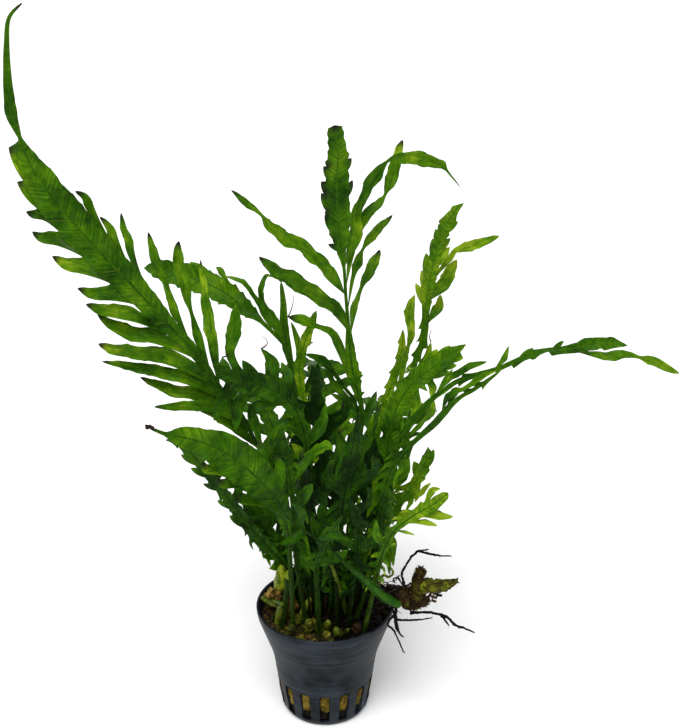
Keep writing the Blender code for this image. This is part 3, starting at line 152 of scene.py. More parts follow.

# tones are darker at the foot and for inner fronds: partly their own deeper green, partly painted shade of
# the clump
# Each frond: foot is where its stalk leaves the bed. A rib point is (across, down, depth, half width), and a
# leaflet is (depth of its tip behind its base, then points (across, down, width)), base first. Across and
# down are picture pixels, depth and widths millimetres. turn is how far the blade faces away from the viewer,
# in degrees about a vertical line. The rest is for the looks alone:
# tones: how light it is at its foot, and at the tips of its leaflets
# teeth: the height of the saw teeth on its blade's edge, and on the edges of its leaflets
# lobes: the share of the blade's width that stays, the spacing and length of the lobes cut into it, and how
# far the lowest lobes stand away from the midrib, in degrees
# slimmer: the share of their width that its broad leaflets keep. stalk: how thick its midrib starts
# redrawn: half widths that differ from the solid's, by point of the rib
# dark_tips: its leaflets end in a dark tip. blunt: its end is cut off square. young: it is pale
FRONDS = {
    "frond_tall_left": {
        "foot": (-9, -1), "tones": (0.3, 0.72), "teeth": (0.45, 0.35), "dark_tips": True, "slimmer": 0.8,
        "rib": (
            (296, 560, -2, 0.8), (291, 525, -4, 0.7), (281, 490, -7, 0.6), (262, 455, -10, 0.6),
            (241, 414, -13, 0.8), (217, 385, -16, 1.2), (195, 353, -18, 2), (171, 328, -20, 2.6),
            (150, 305, -22, 3.6), (128, 281, -24, 4.6), (107, 260, -26, 5.2), (78, 228, -28, 5.8),
            (56, 202, -30, 5.8), (38, 178, -31, 4.6), (27, 158, -32, 3.2), (20, 138, -33, 0.6),
            (11, 112, -35, 1.9), (7.5, 78, -36, 1.3), (6.6, 42, -37, 0.8), (9, 18, -37, 0.6),
            (21.7, 3.2, -36, 0.3),
        ),
        "leaves": (
            (-1, (22, 166, 8), (8.4, 147.6, 0)), (-1, (32, 193, 9), (16.8, 182, 0)),
            (-2, (48, 218, 7), (38, 214, 3.6), (26, 211.8, 0)),
            (-3, (68, 244, 9), (49, 238, 5), (32, 231.7, 0)),
            (-4, (98, 268, 10), (72, 265, 5.4), (52, 256.2, 0)),
            (-6, (124, 292, 8), (100, 294, 5.4), (77.3, 288.4, 0)),
            (-8, (158, 321, 8), (128, 313, 6), (103, 309, 5), (85.7, 304.4, 0)),
            (-6, (186, 343, 7), (150, 336, 6), (122, 331, 6), (97, 314, 0)),
            (-9, (207, 373, 8), (165, 356, 6.4), (120, 350, 5.2), (98.2, 343.8, 0)),
            (-7, (222, 392, 8), (190, 379, 6), (150, 370, 5.2), (101.7, 361.4, 0)),
            (-3, (236, 408, 7), (200, 395, 5.4), (170, 390, 5.2), (140, 377, 0)),
            (-10, (246, 424, 5), (215, 407, 4.6), (185, 406, 4.4), (154, 407, 0)),
            (-4, (254, 440, 4), (236, 427, 4.8), (218, 416, 4.8), (199, 410, 0)),
            (2, (96, 232, 6), (82, 208, 3.4), (75, 191, 0)),
            (5, (116, 257, 3.8), (106, 238, 3), (99.5, 216.4, 0)),
            (8, (136, 266, 4.4), (129, 245, 3.4), (124, 230, 2.8), (120.9, 212.6, 0)),
            (13, (183, 334, 3), (174, 310, 2.8), (166, 285, 2), (155, 258, 3.4), (148.3, 232, 0)),
            (16, (206, 362, 3), (198, 338, 2.8), (191, 313, 1.2), (184, 285, 4), (177, 260, 4),
             (178.9, 241, 0)),
            (19, (219, 380, 2.8), (213, 345, 3.2), (209, 320, 4), (204, 286, 2.4), (200.4, 259.6, 0)),
            (8, (256, 444, 3), (256, 424, 3), (248, 404, 0)),
        ),
    },
    "frond_middle_left": {
        "turn": -15, "foot": (-10.5, -5.5), "tones": (0.05, 0.42), "teeth": (4.2, 0.8),
        "lobes": (0.78, 4.6, 4.6, 46),
        "rib": (
            (303, 560, -11, 0.8), (309, 500, -15, 0.7), (307, 450, -18, 0.8), (298, 414, -20, 2.4),
            (282, 395, -22, 4.2), (262, 386, -24, 5.2), (241, 381, -26, 4.8), (226, 374, -27, 3),
            (213, 366, -28, 0.4),
        ),
        "leaves": (
            (8, (234, 376, 4), (230, 352, 3), (234, 330, 4.6), (236, 304, 0)),
            (2, (223, 372, 3), (222, 357.5, 0)), (3, (247, 374, 3), (242, 360, 0)),
            (5, (273, 380, 6), (272, 364, 4.6), (268, 355, 2.4), (261, 349, 0)),
            (8, (277, 380, 2), (278, 360, 1), (286, 347, 0)),
            (6, (291, 392, 5), (287, 380, 3.6), (281, 362, 0)),
            (-4, (232, 390, 5), (222, 402, 4), (214, 421, 0)),
            (-6, (244, 396, 5), (238, 408, 4.4), (236, 432, 0)),
            (-7, (276, 404, 4), (260, 402, 3), (252, 414, 3), (262, 448, 0)),
            (-5, (304, 436, 4), (290, 424, 4), (278, 432, 4), (264, 462, 0)),
            (6, (308, 440, 4), (320, 428, 4), (326, 404, 0)),
        ),
    },
    "frond_rear_left": {
        "turn": 15, "foot": (-12, 7), "tones": (0.3, 0.62),
        "rib": (
            (303, 540, 12, 0.8), (310, 470, 16, 0.7), (306, 400, 21, 0.6), (292, 361, 25, 0.5),
            (283, 344, 27, 0.5), (262, 322, 30, 0.9), (246, 309, 33, 2.8), (225, 293, 36, 4.4),
            (203, 282, 39, 4.6), (178, 274, 42, 4.4), (158, 269, 44, 3.2), (144, 268, 45, 0.4),
        ),
        "leaves": (
            (7, (268, 328, 2.4), (262, 313, 2.2), (254, 296, 1.8), (242, 282, 2), (225, 276, 0)),
            (11, (283, 344, 2.2), (274, 322, 3.6), (263, 303, 1.8), (261, 289, 2), (266, 276, 1.4),
             (272, 277, 0)), (5, (222, 288, 3), (219, 277, 2.6), (216, 267, 0)),
            (4, (197, 276, 3), (190, 262, 0)),
        ),
    },
    "frond_drooping_left": {
        "foot": (-12, -15), "tones": (0.25, 0.6), "teeth": (0.5, 0.6), "dark_tips": True,
        "redrawn": {-3: 3.4, -2: 0.7},
        "rib": (
            (290, 560, -21, 0.9), (287, 530, -26, 1.4), (280, 506, -31, 3.4), (265, 486, -36, 5.4),
            (245, 467, -40, 7), (221, 450, -44, 6.6), (198, 441, -47, 4.2), (180, 437, -49, 2.6),
            (165, 434, -51, 1.6), (148, 427, -53, 0.4),
        ),
        "leaves": (
            (-3, (226, 458, 7), (213, 463, 3), (203, 460, 0)),
            (-4, (240, 478, 8), (228, 482, 4), (217, 480, 0)),
            (-5, (264, 500, 8), (250, 500, 4), (234, 500, 0)),
            (5, (256, 466, 6), (262, 454, 4), (257, 441, 0)),
            (6, (276, 486, 6), (280, 470, 4), (274, 454, 0)),
        ),
    },
    "frond_thorny_left": {
        "turn": -20, "foot": (-17, -12), "tones": (0.2, 0.52), "teeth": (2, 0.5), "lobes": (0.75, 5, 4, 50),
        "rib": (
            (287, 575, -14, 1.2), (273, 553, -15, 2.6), (257, 536, -17, 3.2), (242, 517, -19, 2.8),
            (228, 498, -22, 2.5), (213, 479, -25, 2.2), (199, 462, -28, 2.4), (187, 449, -31, 2.2),
            (176, 441.5, -33, 1.2), (166, 440, -34, 0.3),
        ),
        "leaves": (
            (-2, (194, 460, 2), (180.7, 454.4, 0)), (-2, (205, 472, 2), (190.5, 468, 0)),
            (-2, (217, 487, 2), (203, 483.8, 0)), (-2, (230, 504, 2), (217, 500.4, 0)),
            (-2, (243, 520, 3), (231, 515, 0)), (-3, (268, 549, 3), (257, 549.8, 0)),
            (-3, (273, 555, 2), (262, 556, 0)), (-3, (281, 563, 3), (269, 568.5, 0)),
            (4, (214, 478, 3), (223, 470, 3), (234, 463, 0)),
            (4, (230, 498, 3), (240, 488, 3), (240, 474, 0)),
        ),
    },
    "frond_low_left": {
        "turn": 25, "foot": (-20, -6), "tones": (0.15, 0.45), "lobes": (0.55, 4.4, 8, 56),
        "rib": (
            (286, 586, -6, 1.4), (282, 562, -9, 3.2), (271, 540, -11, 5.4), (257, 519, -13, 5),
            (246, 503, -14, 2.8), (238, 490, -15, 0.4),
        ),
        "leaves": (
            (4, (280, 552, 6), (290, 538, 4.6), (288, 518, 0)),
            (4, (264, 524, 6), (276, 512, 4.4), (272, 496, 0)),
        ),
    },
    "frond_tall_middle": {
        "foot": (3, 2), "tones": (0.34, 0.7), "teeth": (1.3, 0.5), "dark_tips": True, "blunt": True,
        "rib": (
            (336, 570, 3, 0.9), (341, 530, 5, 0.8), (350, 480, 6, 0.7), (360, 440, 7, 0.7),
            (362, 412, 7, 0.8), (358.5, 395, 7, 1.2), (353, 372, 7, 2.6), (350, 350, 7, 1.8),
            (348, 322, 7, 0.7), (346, 298, 7, 0.6), (344, 268, 7, 0.6), (341, 248, 6, 1.8),
            (339, 225, 5, 3.8), (337, 202, 4, 4.4), (337, 178, 2, 4.1), (338, 155, 0, 3.4),
            (336, 138, -2, 2.7), (334.5, 125.5, -4, 2.3),
        ),
        "leaves": (
            (-2, (330, 172, 2.4), (323.5, 166, 0)), (-2, (328, 188, 2.4), (321, 181.5, 0)),
            (-2, (329, 201, 3), (321, 193, 0)), (-2, (331, 222, 2.4), (326, 214.5, 0)),
            (-1, (336, 248, 1.6), (328, 244, 0)), (2, (347, 164, 2), (351.5, 158, 0)),
            (2, (347, 190, 2.4), (352.5, 180, 0)),
            (-14, (345, 292, 1.2), (331, 274, 3.8), (317, 260, 4.4), (301, 246, 4.6), (284, 238, 4.8),
             (270, 227, 3.4), (261, 215, 1), (246, 203, 2.4), (231, 190, 0)),
            (-17, (348, 326, 2), (340, 312, 3.6), (325, 300, 5), (307, 288, 5.4), (290, 277, 5.6),
             (276, 270, 4.2), (259, 256.5, 0)),
            (-9, (354, 374, 2.6), (343, 347, 3.2), (331, 332, 2.6), (317, 326.5, 1.6), (303, 320, 4),
             (288, 317, 0)),
            (9, (344, 262, 1.8), (351, 236, 4.6), (356, 214, 3.4), (364, 195, 3), (374, 177, 4.6),
             (388, 161, 1), (402, 157, 3.6), (422, 159, 5), (440, 164, 3.2), (448, 172, 0.8),
             (460.7, 187.6, 0)),
            (14, (345, 282, 1.2), (351, 256, 1.8), (359, 234, 1), (367, 215, 3.8), (379, 203, 2.8),
             (385, 195, 1), (391, 180, 4.4), (396, 164, 4), (399, 150, 2.8), (402.7, 139.8, 0)),
            (17, (348, 305, 1.2), (353, 278, 1.2), (357, 262, 3.4), (363, 249, 1), (370, 237, 3.2),
             (380, 227, 3), (392.5, 215, 0)),
            (20, (349, 330, 1.2), (354, 308, 2.2), (361, 289, 1.2), (368, 275, 3.6), (375, 262, 3.6),
             (379.7, 249.5, 0)), (8, (364, 424, 2), (370, 408, 3.4), (376.5, 391, 0)),
            (-6, (361, 418, 2), (350, 414, 3), (343, 422, 3.4), (338, 434, 0)),
        ),
    },
    "frond_thin_arching": {
        "foot": (7, 6), "tones": (0.2, 0.45),
        "rib": (
            (345, 560, 9, 0.7), (351, 500, 11, 0.7), (358, 440, 13, 0.9), (356, 405, 14, 0.6),
            (345, 388, 14, 0.7), (333, 372, 14, 0.9), (322, 360, 14, 1.8), (305, 354, 14, 0.3),
        ),
        "leaves": (
            (5, (352, 402, 2), (340, 388, 2.2), (332, 377, 2), (326, 370, 0)),
            (9, (357, 414, 2), (348, 404, 2.4), (340, 398, 2.2), (331, 394, 0)),
            (4, (351, 460, 4), (342, 446, 4), (334, 422, 0)),
            (6, (357, 462, 3), (366, 450, 4), (368, 438, 0)),
        ),
    },
    "frond_light_left": {
        "foot": (-3, 6), "young": True, "tones": (0.45, 0.85), "teeth": (0.7, 0.6),
        "lobes": (0.85, 7, 3.6, 34),
        "rib": (
            (306, 560, 9, 0.7), (311, 500, 12, 0.7), (309, 440, 15, 1.2), (303, 396, 17, 1.8),
            (299, 372, 18, 2.2), (302, 352, 18, 2), (308, 334, 18, 1.8), (313, 320, 18, 1.4),
            (316, 311, 18, 0.6),
        ),
        "leaves": (
            (5, (306, 426, 4), (299, 412, 4), (292, 398, 0)),
            (5, (310, 470, 4), (300, 450, 4.4), (292, 428, 0)),
            (6, (311, 480, 4), (322, 462, 4), (328, 440, 0)),
        ),
    },
    "frond_narrow_left": {
        "foot": (-7, 11), "tones": (0.3, 0.62), "teeth": (0.4, 0.5),
        "rib": (
            (302, 560, 17, 0.7), (304, 500, 22, 0.7), (301, 440, 27, 0.9), (297, 400, 30, 0.8),
            (293, 372, 32, 1), (287, 348, 34, 1.8), (284, 325, 35, 1.7), (283.5, 305, 36, 1.3),
            (281, 282, 37, 0.5),
        ),
        "leaves": (
            (13, (298, 395, 2), (300, 368, 2.2), (297, 340, 2.4), (291, 322, 0)),
            (5, (299, 424, 4), (290, 408, 4), (280, 394, 0)),
            (6, (303, 460, 4), (314, 440, 4.4), (318, 412, 0)),
        ),
    },
    "frond_dark_middle": {
        "turn": 20, "foot": (-1, -3), "tones": (-0.1, 0.16), "lobes": (0.45, 4.4, 11, 52),
        "rib": (
            (321, 560, -4, 0.8), (325, 510, -5, 1.2), (325, 470, -5, 4), (321, 435, -5, 5.6),
            (317, 408, -5, 5.6), (315, 385, -5, 3.4), (314, 374, -5, 2.2), (312, 365, -5, 0.6),
        ),
        "leaves": (
            (-6, (313, 446, 7), (302, 440, 5), (290, 442, 0)),
            (-6, (304, 414, 7), (294, 404, 5), (290, 390, 0)),
            (2, (330, 424, 6), (341, 414, 4.4), (344, 398, 0)), (3, (318, 380, 3), (318, 363, 0)),
            (8, (332, 470, 8), (340, 454, 5), (337, 436, 0)),
            (-8, (318, 490, 8), (308, 476, 5), (300, 452, 0)),
        ),
    },
    "frond_inner_left": {
        "foot": (-7, -11), "tones": (0.2, 0.52), "lobes": (0.75, 4.6, 8, 50),
        "rib": (
            (296, 560, -17, 0.8), (294, 520, -21, 0.7), (291, 485, -25, 1.2), (285, 455, -29, 2.6),
            (281, 437, -31, 2.2), (283, 423, -32, 0.4),
        ),
        "leaves": (
            (-6, (291, 490, 1.6), (281, 474, 1.6), (266, 466, 3), (250, 469, 0)),
            (-8, (292, 482, 1.6), (303, 466, 2.2), (313, 453, 3.2), (326, 446, 3), (333, 450, 0)),
            (-5, (287, 462, 2), (277, 450, 4), (270, 430, 0)),
            (-6, (293, 510, 2), (305, 495, 4), (313, 484, 0)),
            (-6, (294, 535, 3), (284, 520, 4), (278, 505, 0)),
        ),
    },
    "frond_inner_front": {
        "turn": -30, "foot": (-2, -9), "tones": (-0.08, 0.26), "lobes": (0.4, 4.2, 10, 52),
        "rib": (
            (308, 565, -13, 0.8), (308, 540, -15, 1.6), (307, 512, -18, 4), (305, 486, -20, 4.4),
            (306, 466, -22, 2.4), (309, 450, -23, 0.4),
        ),
        "leaves": (
            (-4, (303, 530, 5), (296, 520, 3), (298, 506, 0)),
            (-5, (312, 530, 5), (322, 520, 4), (326, 502, 0)),
            (-4, (313, 500, 5), (322, 488, 4), (322, 472, 0)),
        ),
    },
    "frond_inner_right": {
        "turn": 30, "foot": (5, -13), "tones": (-0.08, 0.26), "lobes": (0.4, 4.4, 10, 50),
        "rib": (
            (336, 575, -17, 0.8), (338, 545, -20, 1.4), (342, 512, -23, 4), (347, 478, -26, 5),
            (352, 448, -28, 4.4), (356, 428, -29, 2.4), (358, 412, -30, 0.5),
        ),
        "leaves": (
            (-5, (340, 486, 6), (334, 474, 4), (336, 456, 0)),
            (-5, (354, 488, 6), (364, 474, 4.4), (368, 456, 0)),
            (-5, (348, 518, 6), (358, 506, 4.4), (362, 488, 0)),
            (-5, (336, 526, 6), (328, 514, 4), (326, 496, 0)),
        ),
    },
    "frond_low_front": {
        "turn": 25, "foot": (-2, -17), "tones": (0.12, 0.42), "lobes": (0.4, 3.8, 8.5, 52),
        "rib": (
            (317, 590, -20, 1), (316, 568, -23, 2), (322, 548, -27, 3.6), (332, 531, -31, 3.2),
            (342, 516, -35, 0.4),
        ),
        "leaves": (
            (-5, (314, 566, 4), (304, 556, 4), (298, 542, 0)),
            (-5, (320, 562, 5), (334, 558, 4), (348, 550, 0)),
            (-5, (322, 542, 4), (316, 530, 4), (312, 516, 0)),
        ),
    },
    "frond_lower_middle": {
        "turn": -25, "foot": (9, -12), "tones": (-0.05, 0.32), "lobes": (0.4, 3.8, 8.5, 50),
        "rib": (
            (354, 580, -16, 0.9), (357, 556, -21, 2.2), (358, 532, -27, 4), (354, 512, -32, 3),
            (350, 498, -36, 0.4),
        ),
        "leaves": (
            (-4, (361, 546, 5), (370, 534, 3.6), (374, 518, 0)),
            (-4, (352, 548, 5), (342, 538, 3.6), (338, 524, 0)),
        ),
    },
    "frond_right_upright": {
        "turn": -15, "foot": (11, 6), "tones": (0.4, 0.92), "teeth": (3, 0.8), "lobes": (0.85, 6, 4, 38),
        "rib": (
            (360, 570, 8, 0.8), (368, 530, 11, 0.7), (377, 480, 14, 0.6), (387, 435, 17, 0.7),
            (398, 400, 19, 0.8), (411, 375, 20, 0.9), (416.5, 358, 20, 1.3), (423, 342, 19, 1.6),
            (425, 325, 18, 1.6), (426, 308, 17, 1.7), (428, 290, 15, 2.4), (432, 270, 13, 2.8),
            (437, 250, 11, 2.4), (442, 235, 9, 2.6), (448, 222, 7, 2.7), (455, 211, 5, 1.6),
            (463.3, 203.5, 3, 0.3),
        ),
        "leaves": (
            (1, (439, 236, 2), (436.5, 229.5, 0)), (1, (437, 248, 3), (432.5, 238.5, 0)),
            (1, (431, 270, 3), (426, 253, 0)), (2, (427, 286, 3.4), (421.3, 270, 0)),
            (2, (423, 298, 3), (415.6, 283, 0)),
            (-9, (396, 400, 2), (402, 376, 1.6), (411, 362, 2.2), (408, 347, 1.2), (411, 333, 2.4),
             (416, 312, 3.4), (418, 296, 0)), (-1, (451, 226, 2), (457, 220.5, 0)),
            (-2, (443, 245, 2), (449.6, 237.4, 0)), (-2, (441, 258, 2.4), (450, 247, 0)),
            (12, (436, 272, 3), (445, 259, 2.2), (455, 251, 1.8), (469, 246, 3.6), (484, 241.5, 3),
             (499.5, 236, 0)), (4, (430, 292, 4), (440, 283, 4.4), (449, 273, 4.2), (456.9, 259.5, 0)),
            (5, (427, 318, 3), (434, 307, 3.8), (440.5, 294.6, 0)),
            (4, (414, 372, 3), (424, 362, 3), (431, 342, 0)),
        ),
    },
    "frond_light_right": {
        "foot": (8, 12), "young": True, "tones": (0.45, 0.9), "teeth": (1.2, 0.7), "lobes": (0.8, 6, 4.6, 30),
        "rib": (
            (356, 560, 18, 0.7), (364, 500, 24, 0.7), (374, 450, 29, 0.9), (383, 415, 32, 1.8),
            (389, 392, 33, 2), (394, 376, 34, 2), (400, 362, 34, 2), (402, 348, 34, 2), (403, 330, 34, 0.4),
        ),
        "leaves": (
            (5, (370, 470, 3), (382, 452, 3.6), (386, 434, 0)),
            (5, (376, 444, 3), (370, 430, 2), (374, 412, 0)),
        ),
    },
    "frond_maple_right": {
        "turn": -20, "foot": (14, -1), "tones": (0.2, 0.8), "teeth": (5, 1.2), "lobes": (0.72, 5.4, 6, 44),
        "rib": (
            (366, 570, -2, 0.8), (375, 530, -2, 0.8), (383, 480, -3, 1.4), (389, 440, -3, 3.4),
            (394, 415, -3, 4), (404, 395, -3, 4.4), (415, 381, -3, 4.4), (428, 371, -3, 4.6),
            (440, 362, -3, 4.2), (452, 353.5, -3, 2.8), (465.6, 344.6, -3, 0.3),
        ),
        "leaves": (
            (1, (442, 353, 3), (450.8, 347, 0)), (1, (431, 362, 3), (438.9, 350.9, 0)),
            (-1, (452, 358, 3), (463.5, 358.4, 0)), (-1, (446, 364, 3), (457.2, 365.6, 0)),
            (-2, (436, 373, 4), (449, 371, 0)), (-4, (428, 378, 3.2), (433, 388, 3), (431, 398, 0)),
            (-4, (412, 392, 5), (416, 408, 4), (410, 426, 0)),
            (-4, (398, 430, 5), (406, 446, 4), (402, 462, 0)),
        ),
    },
    "frond_far_right": {
        "foot": (12, -9), "tones": (0.25, 0.72), "teeth": (0.7, 0.4), "lobes": (0.85, 8, 3.4, 34),
        "slimmer": 0.8,
        "rib": (
            (370, 575, -11, 0.9), (376, 530, -14, 0.8), (386, 480, -17, 0.9), (402, 437, -20, 1.2),
            (421, 411, -22, 1.5), (432, 399, -23, 0.9), (443, 391, -24, 1), (458, 381, -25, 0.8),
            (480, 374, -27, 0.9), (499, 368, -28, 0.7), (516, 361, -30, 0.9), (533, 354, -31, 1.4),
            (546, 350, -32, 0.6), (561, 350, -33, 1.4), (576, 348, -34, 2), (592, 344, -35, 2.4),
            (608, 343, -36, 2.2), (627.3, 345.5, -37, 0.3),
        ),
        "leaves": (
            (6, (441, 392, 1.6), (450, 381, 2.2), (459, 372, 2.4), (472, 365.5, 2.2), (487, 361.8, 0)),
            (3, (440, 393, 1.6), (446, 379, 1.8), (453, 369, 0)),
            (3, (499, 368, 2), (504, 358, 1.8), (508.6, 346, 0)), (2, (524, 357, 1), (534, 348.5, 0)),
            (3, (556, 350, 1), (564, 341, 0)),
            (-8, (582, 350, 2), (601, 351, 2.4), (614, 354.5, 3.4), (627, 354.5, 2.2), (639, 357, 1),
             (651, 360.5, 3), (665, 366.5, 2.6), (679.5, 373.6, 0)),
            (5, (416, 418, 3.4), (426, 410, 3), (434, 400, 0)),
            (-5, (404, 438, 2), (415, 424, 1.6), (427, 416, 1.2), (438, 410, 0)),
        ),
    },
    "frond_lower_far_right": {
        "foot": (17, -10), "tones": (0.22, 0.66), "lobes": (0.55, 5.4, 9, 34), "slimmer": 0.8,
        "rib": (
            (375, 575, -12, 0.8), (380, 530, -18, 0.8), (386, 484, -24, 1.2), (400, 457, -28, 1.6),
            (416, 440, -31, 1.6), (433, 425, -33, 2.2), (444, 413, -35, 2.2), (452, 404, -36, 1.8),
            (462, 396, -37, 0.7), (473, 390, -38, 0.7), (488, 380, -39, 0.6), (500, 371, -40, 0.3),
        ),
        "leaves": (
            (5, (452, 404, 2.4), (458, 396, 2.6), (462, 388.8, 0)),
            (-6, (446, 410, 2), (450, 398, 1.8), (465, 389, 1.2), (480, 387, 1.8), (491, 383, 1.4),
             (499, 374, 0)), (4, (388, 480, 3), (394, 464, 3.6), (405, 448, 0)),
            (4, (383, 505, 4), (376, 494, 4), (377, 478, 0)),
        ),
    },
    "frond_dark_right": {
        "turn": -35, "foot": (8, -4), "tones": (-0.08, 0.24), "lobes": (0.4, 4.4, 10, 46),
        "rib": (
            (352, 565, -6, 0.8), (361, 520, -8, 1.2), (369, 485, -9, 3.8), (374, 460, -10, 4.4),
            (375, 442, -11, 2.2), (374, 438, -11, 0.5),
        ),
        "leaves": (
            (-4, (361, 490, 6), (356, 478, 4), (358, 462, 0)),
            (4, (378, 480, 6), (386, 470, 4), (388, 452, 0)),
            (4, (366, 515, 6), (376, 505, 4), (381, 490, 0)),
        ),
    },
    "frond_lower_right": {
        "foot": (19, -3), "tones": (0.45, 0.88), "lobes": (0.85, 4.8, 8.5, 42),
        "rib": (
            (378, 570, -5, 0.8), (381, 545, -7, 1), (388, 522, -9, 1.6), (399, 504, -11, 1.6),
            (410, 490, -13, 1.8), (418, 478, -15, 2.4), (424, 466, -16, 2.4), (428, 456, -17, 2),
            (428, 447.5, -18, 0.4),
        ),
        "leaves": (
            (6, (389, 518, 4), (387, 500, 3.4), (395, 483, 2.8), (405, 475, 3), (414, 469, 0)),
            (3, (419, 470, 3), (414, 461, 0)), (-2, (428, 459, 2), (434.3, 449.5, 0)),
            (-4, (404, 498, 2), (413, 491.5, 1.8), (424, 490, 1.8), (431, 482.6, 0)),
            (-4, (390, 520, 3), (399, 511, 2.6), (411, 510, 0)),
        ),
    },
    "frond_light_lower_right": {
        "foot": (15, -16), "young": True, "tones": (0.05, 0.9), "teeth": (1.6, 0.6),
        "lobes": (0.75, 5.4, 5.4, 44),
        "rib": (
            (376, 580, -20, 0.8), (381, 558, -25, 1), (388, 541, -29, 1.6), (396, 529, -32, 1.6),
            (406, 521, -34, 1.6), (416, 514, -36, 2.6), (427, 508, -37, 3), (438, 501, -39, 2.6),
            (448, 493, -40, 1.8),
        ),
        "leaves": (
            (-3, (424, 512, 2.6), (438, 514, 2.8), (453.3, 516.7, 0)),
            (-4, (410, 520, 2), (425, 520.5, 2), (437.6, 526, 0)),
            (-3, (397, 529, 1.2), (406, 532, 1), (415, 535, 0)), (-2, (387, 544, 1.2), (395.5, 543.5, 0)),
            (2, (430, 505, 3), (436, 497, 2.4), (441, 489.6, 0)),
            (3, (386, 546, 2.4), (377, 536, 2.8), (376, 520, 0)),
        ),
    },
    "frond_strap": {
        "tones": (0.12, 0.3), "teeth": (0.1, 0.2), "stalk": 1.45,
        "redrawn": {0: 1.5, 1: 1.9, 2: 1.6, 3: 0.7, 4: 0.32, 5: 0.3, 6: 0.5, 7: 0.6},
        "rib": (
            (399, 605, -16.5, 1.2), (384, 597, -20, 1.2), (366, 581, -24, 1.2), (348, 566, -28, 1.1),
            (330, 549, -32, 1), (312, 536, -38, 1.4), (296, 524, -42, 2.8), (282, 514, -46, 2),
            (270, 509, -49, 0.4),
        ),
        "leaves": (
            (-6, (318, 540, 2.4), (330, 536, 2.4), (348, 538, 0)),
            (-5, (300, 526, 3), (300, 514, 3), (292, 504, 0)),
            (-6, (304, 530, 3), (292, 540, 3), (280, 544, 0)),
        ),
    },
    "frond_rear_low_left": {
        "turn": 35, "foot": (-16, 9), "tones": (0.12, 0.4), "lobes": (0.5, 5, 10, 50),
        "rib": (
            (286, 540, 15, 1.4), (273, 508, 20, 4.6), (262, 482, 25, 6), (252, 462, 30, 5),
            (245, 447, 35, 0.5),
        ),
        "leaves": (
            (8, (286, 500, 8), (284, 480, 5), (274, 458, 0)),
            (6, (262, 510, 8), (250, 494, 4), (240, 480, 0)),
        ),
    },
    "frond_rear_middle_left": {
        "turn": -40, "foot": (-3, 14), "tones": (0.1, 0.45), "lobes": (0.45, 4.8, 10, 48),
        "rib": (
            (304, 530, 24, 1.2), (301, 490, 32, 4), (298, 455, 40, 5.4), (297, 422, 48, 4.6),
            (290, 400, 54, 3), (280, 385, 58, 0.5),
        ),
        "leaves": (
            (8, (286, 460, 8), (278, 446, 5), (274, 430, 0)),
            (8, (310, 460, 8), (322, 446, 5), (326, 424, 0)),
            (8, (306, 420, 6), (312, 404, 4), (311, 384, 0)),
        ),
    },
    "frond_rear_middle_right": {
        "turn": 40, "foot": (4, 16), "tones": (0.1, 0.4), "lobes": (0.45, 4.8, 10, 46),
        "rib": (
            (330, 530, 30, 1.2), (338, 495, 38, 4.4), (345, 465, 46, 5.4), (353, 440, 53, 4.4),
            (358, 422, 59, 2.4), (360, 408, 63, 0.4),
        ),
        "leaves": (
            (8, (333, 480, 8), (328, 462, 5), (330, 440, 0)),
            (8, (357, 470, 8), (368, 458, 5), (374, 440, 0)),
        ),
    },
    "frond_rear_right": {
        "turn": -35, "foot": (16, 11), "tones": (0.14, 0.46), "lobes": (0.5, 4.8, 9, 42),
        "rib": (
            (370, 530, 18, 1.2), (378, 495, 23, 3.2), (385, 462, 28, 4), (390, 435, 33, 4.2),
            (394, 412, 37, 2.6), (398, 396, 39, 0.4),
        ),
        "leaves": (
            (6, (386, 490, 7), (396, 474, 4), (398, 460, 0)),
            (6, (398, 434, 6), (406, 420, 4), (412, 402, 0)),
        ),
    },
}

# Fronds that arch away behind, drawn by one rule: foot, heading in degrees from +X, reach and rise of the
# tip, number of leaflet pairs and length of the longest leaflet. Their looks are the same for all of them
ARCHING = {
    "frond_back_left": ((-10, 20), 122, 62, 62, 5, 24),
    "frond_back_middle": ((-1, 21), 94, 84, 66, 6, 26),
    "frond_back_right": ((8, 20), 64, 72, 56, 6, 24),
}
ARCHING_LOOKS = {"tones": (0.2, 0.6), "lobes": (1, 5, 6.5, 48)}

# Roots, drawn like fronds: a root that lies free of the bed starts where its foot would be
ROOTS = {
    "root_upper": {
        "rib": (
            (403, 580, -11, 0.5), (402, 573, -12, 0.5), (408, 562, -13, 0.5), (413, 555, -14, 0.5),
            (419, 551, -15, 0.5), (429, 549.6, -16, 0.2),
        ),
        "leaves": (
            (-4, (419, 551, 1), (427, 553, 0.9), (437, 555.3, 0.8), (452, 556, 0)),
        ),
    },
    "root_long": {
        "rib": (
            (416, 612.5, -12, 0.6), (432, 612.7, -14, 0.5), (447, 617, -17, 0.6), (455, 625, -19, 0.6),
            (464, 628, -20, 0.4), (475, 632.8, -22, 0.2),
        ),
        "leaves": (
            (-3, (440, 615, 1), (446, 620, 0.8), (449, 626, 0)),
        ),
    },
    "root_hanging": {
        "rib": (
            (396, 607, -14, 0.7), (395.3, 616, -15, 0.8), (397, 627, -16, 0.7), (400.4, 634.4, -16, 0.4),
            (404, 637, -16, 0.2),
        ),
        "leaves": (
            (-4, (396, 620, 1), (415.7, 620, 0.7), (433, 617.5, 0)),
            (-5, (396, 613, 1), (388, 624, 0.8), (395, 631.3, 0.7), (402.3, 648.8, 0.6), (404.6, 652.6, 0)),
        ),
    },
    "crozier": {
        "foot": (19, 5), "young": True,
        "rib": (
            (378, 588, 4, 0.6), (383, 575.5, 3, 0.6), (389, 577, 2, 0.5), (393, 572.5, 1, 0.5),
            (391.5, 568.5, 0, 0.3),
        ),
        "leaves": (),
    },
}

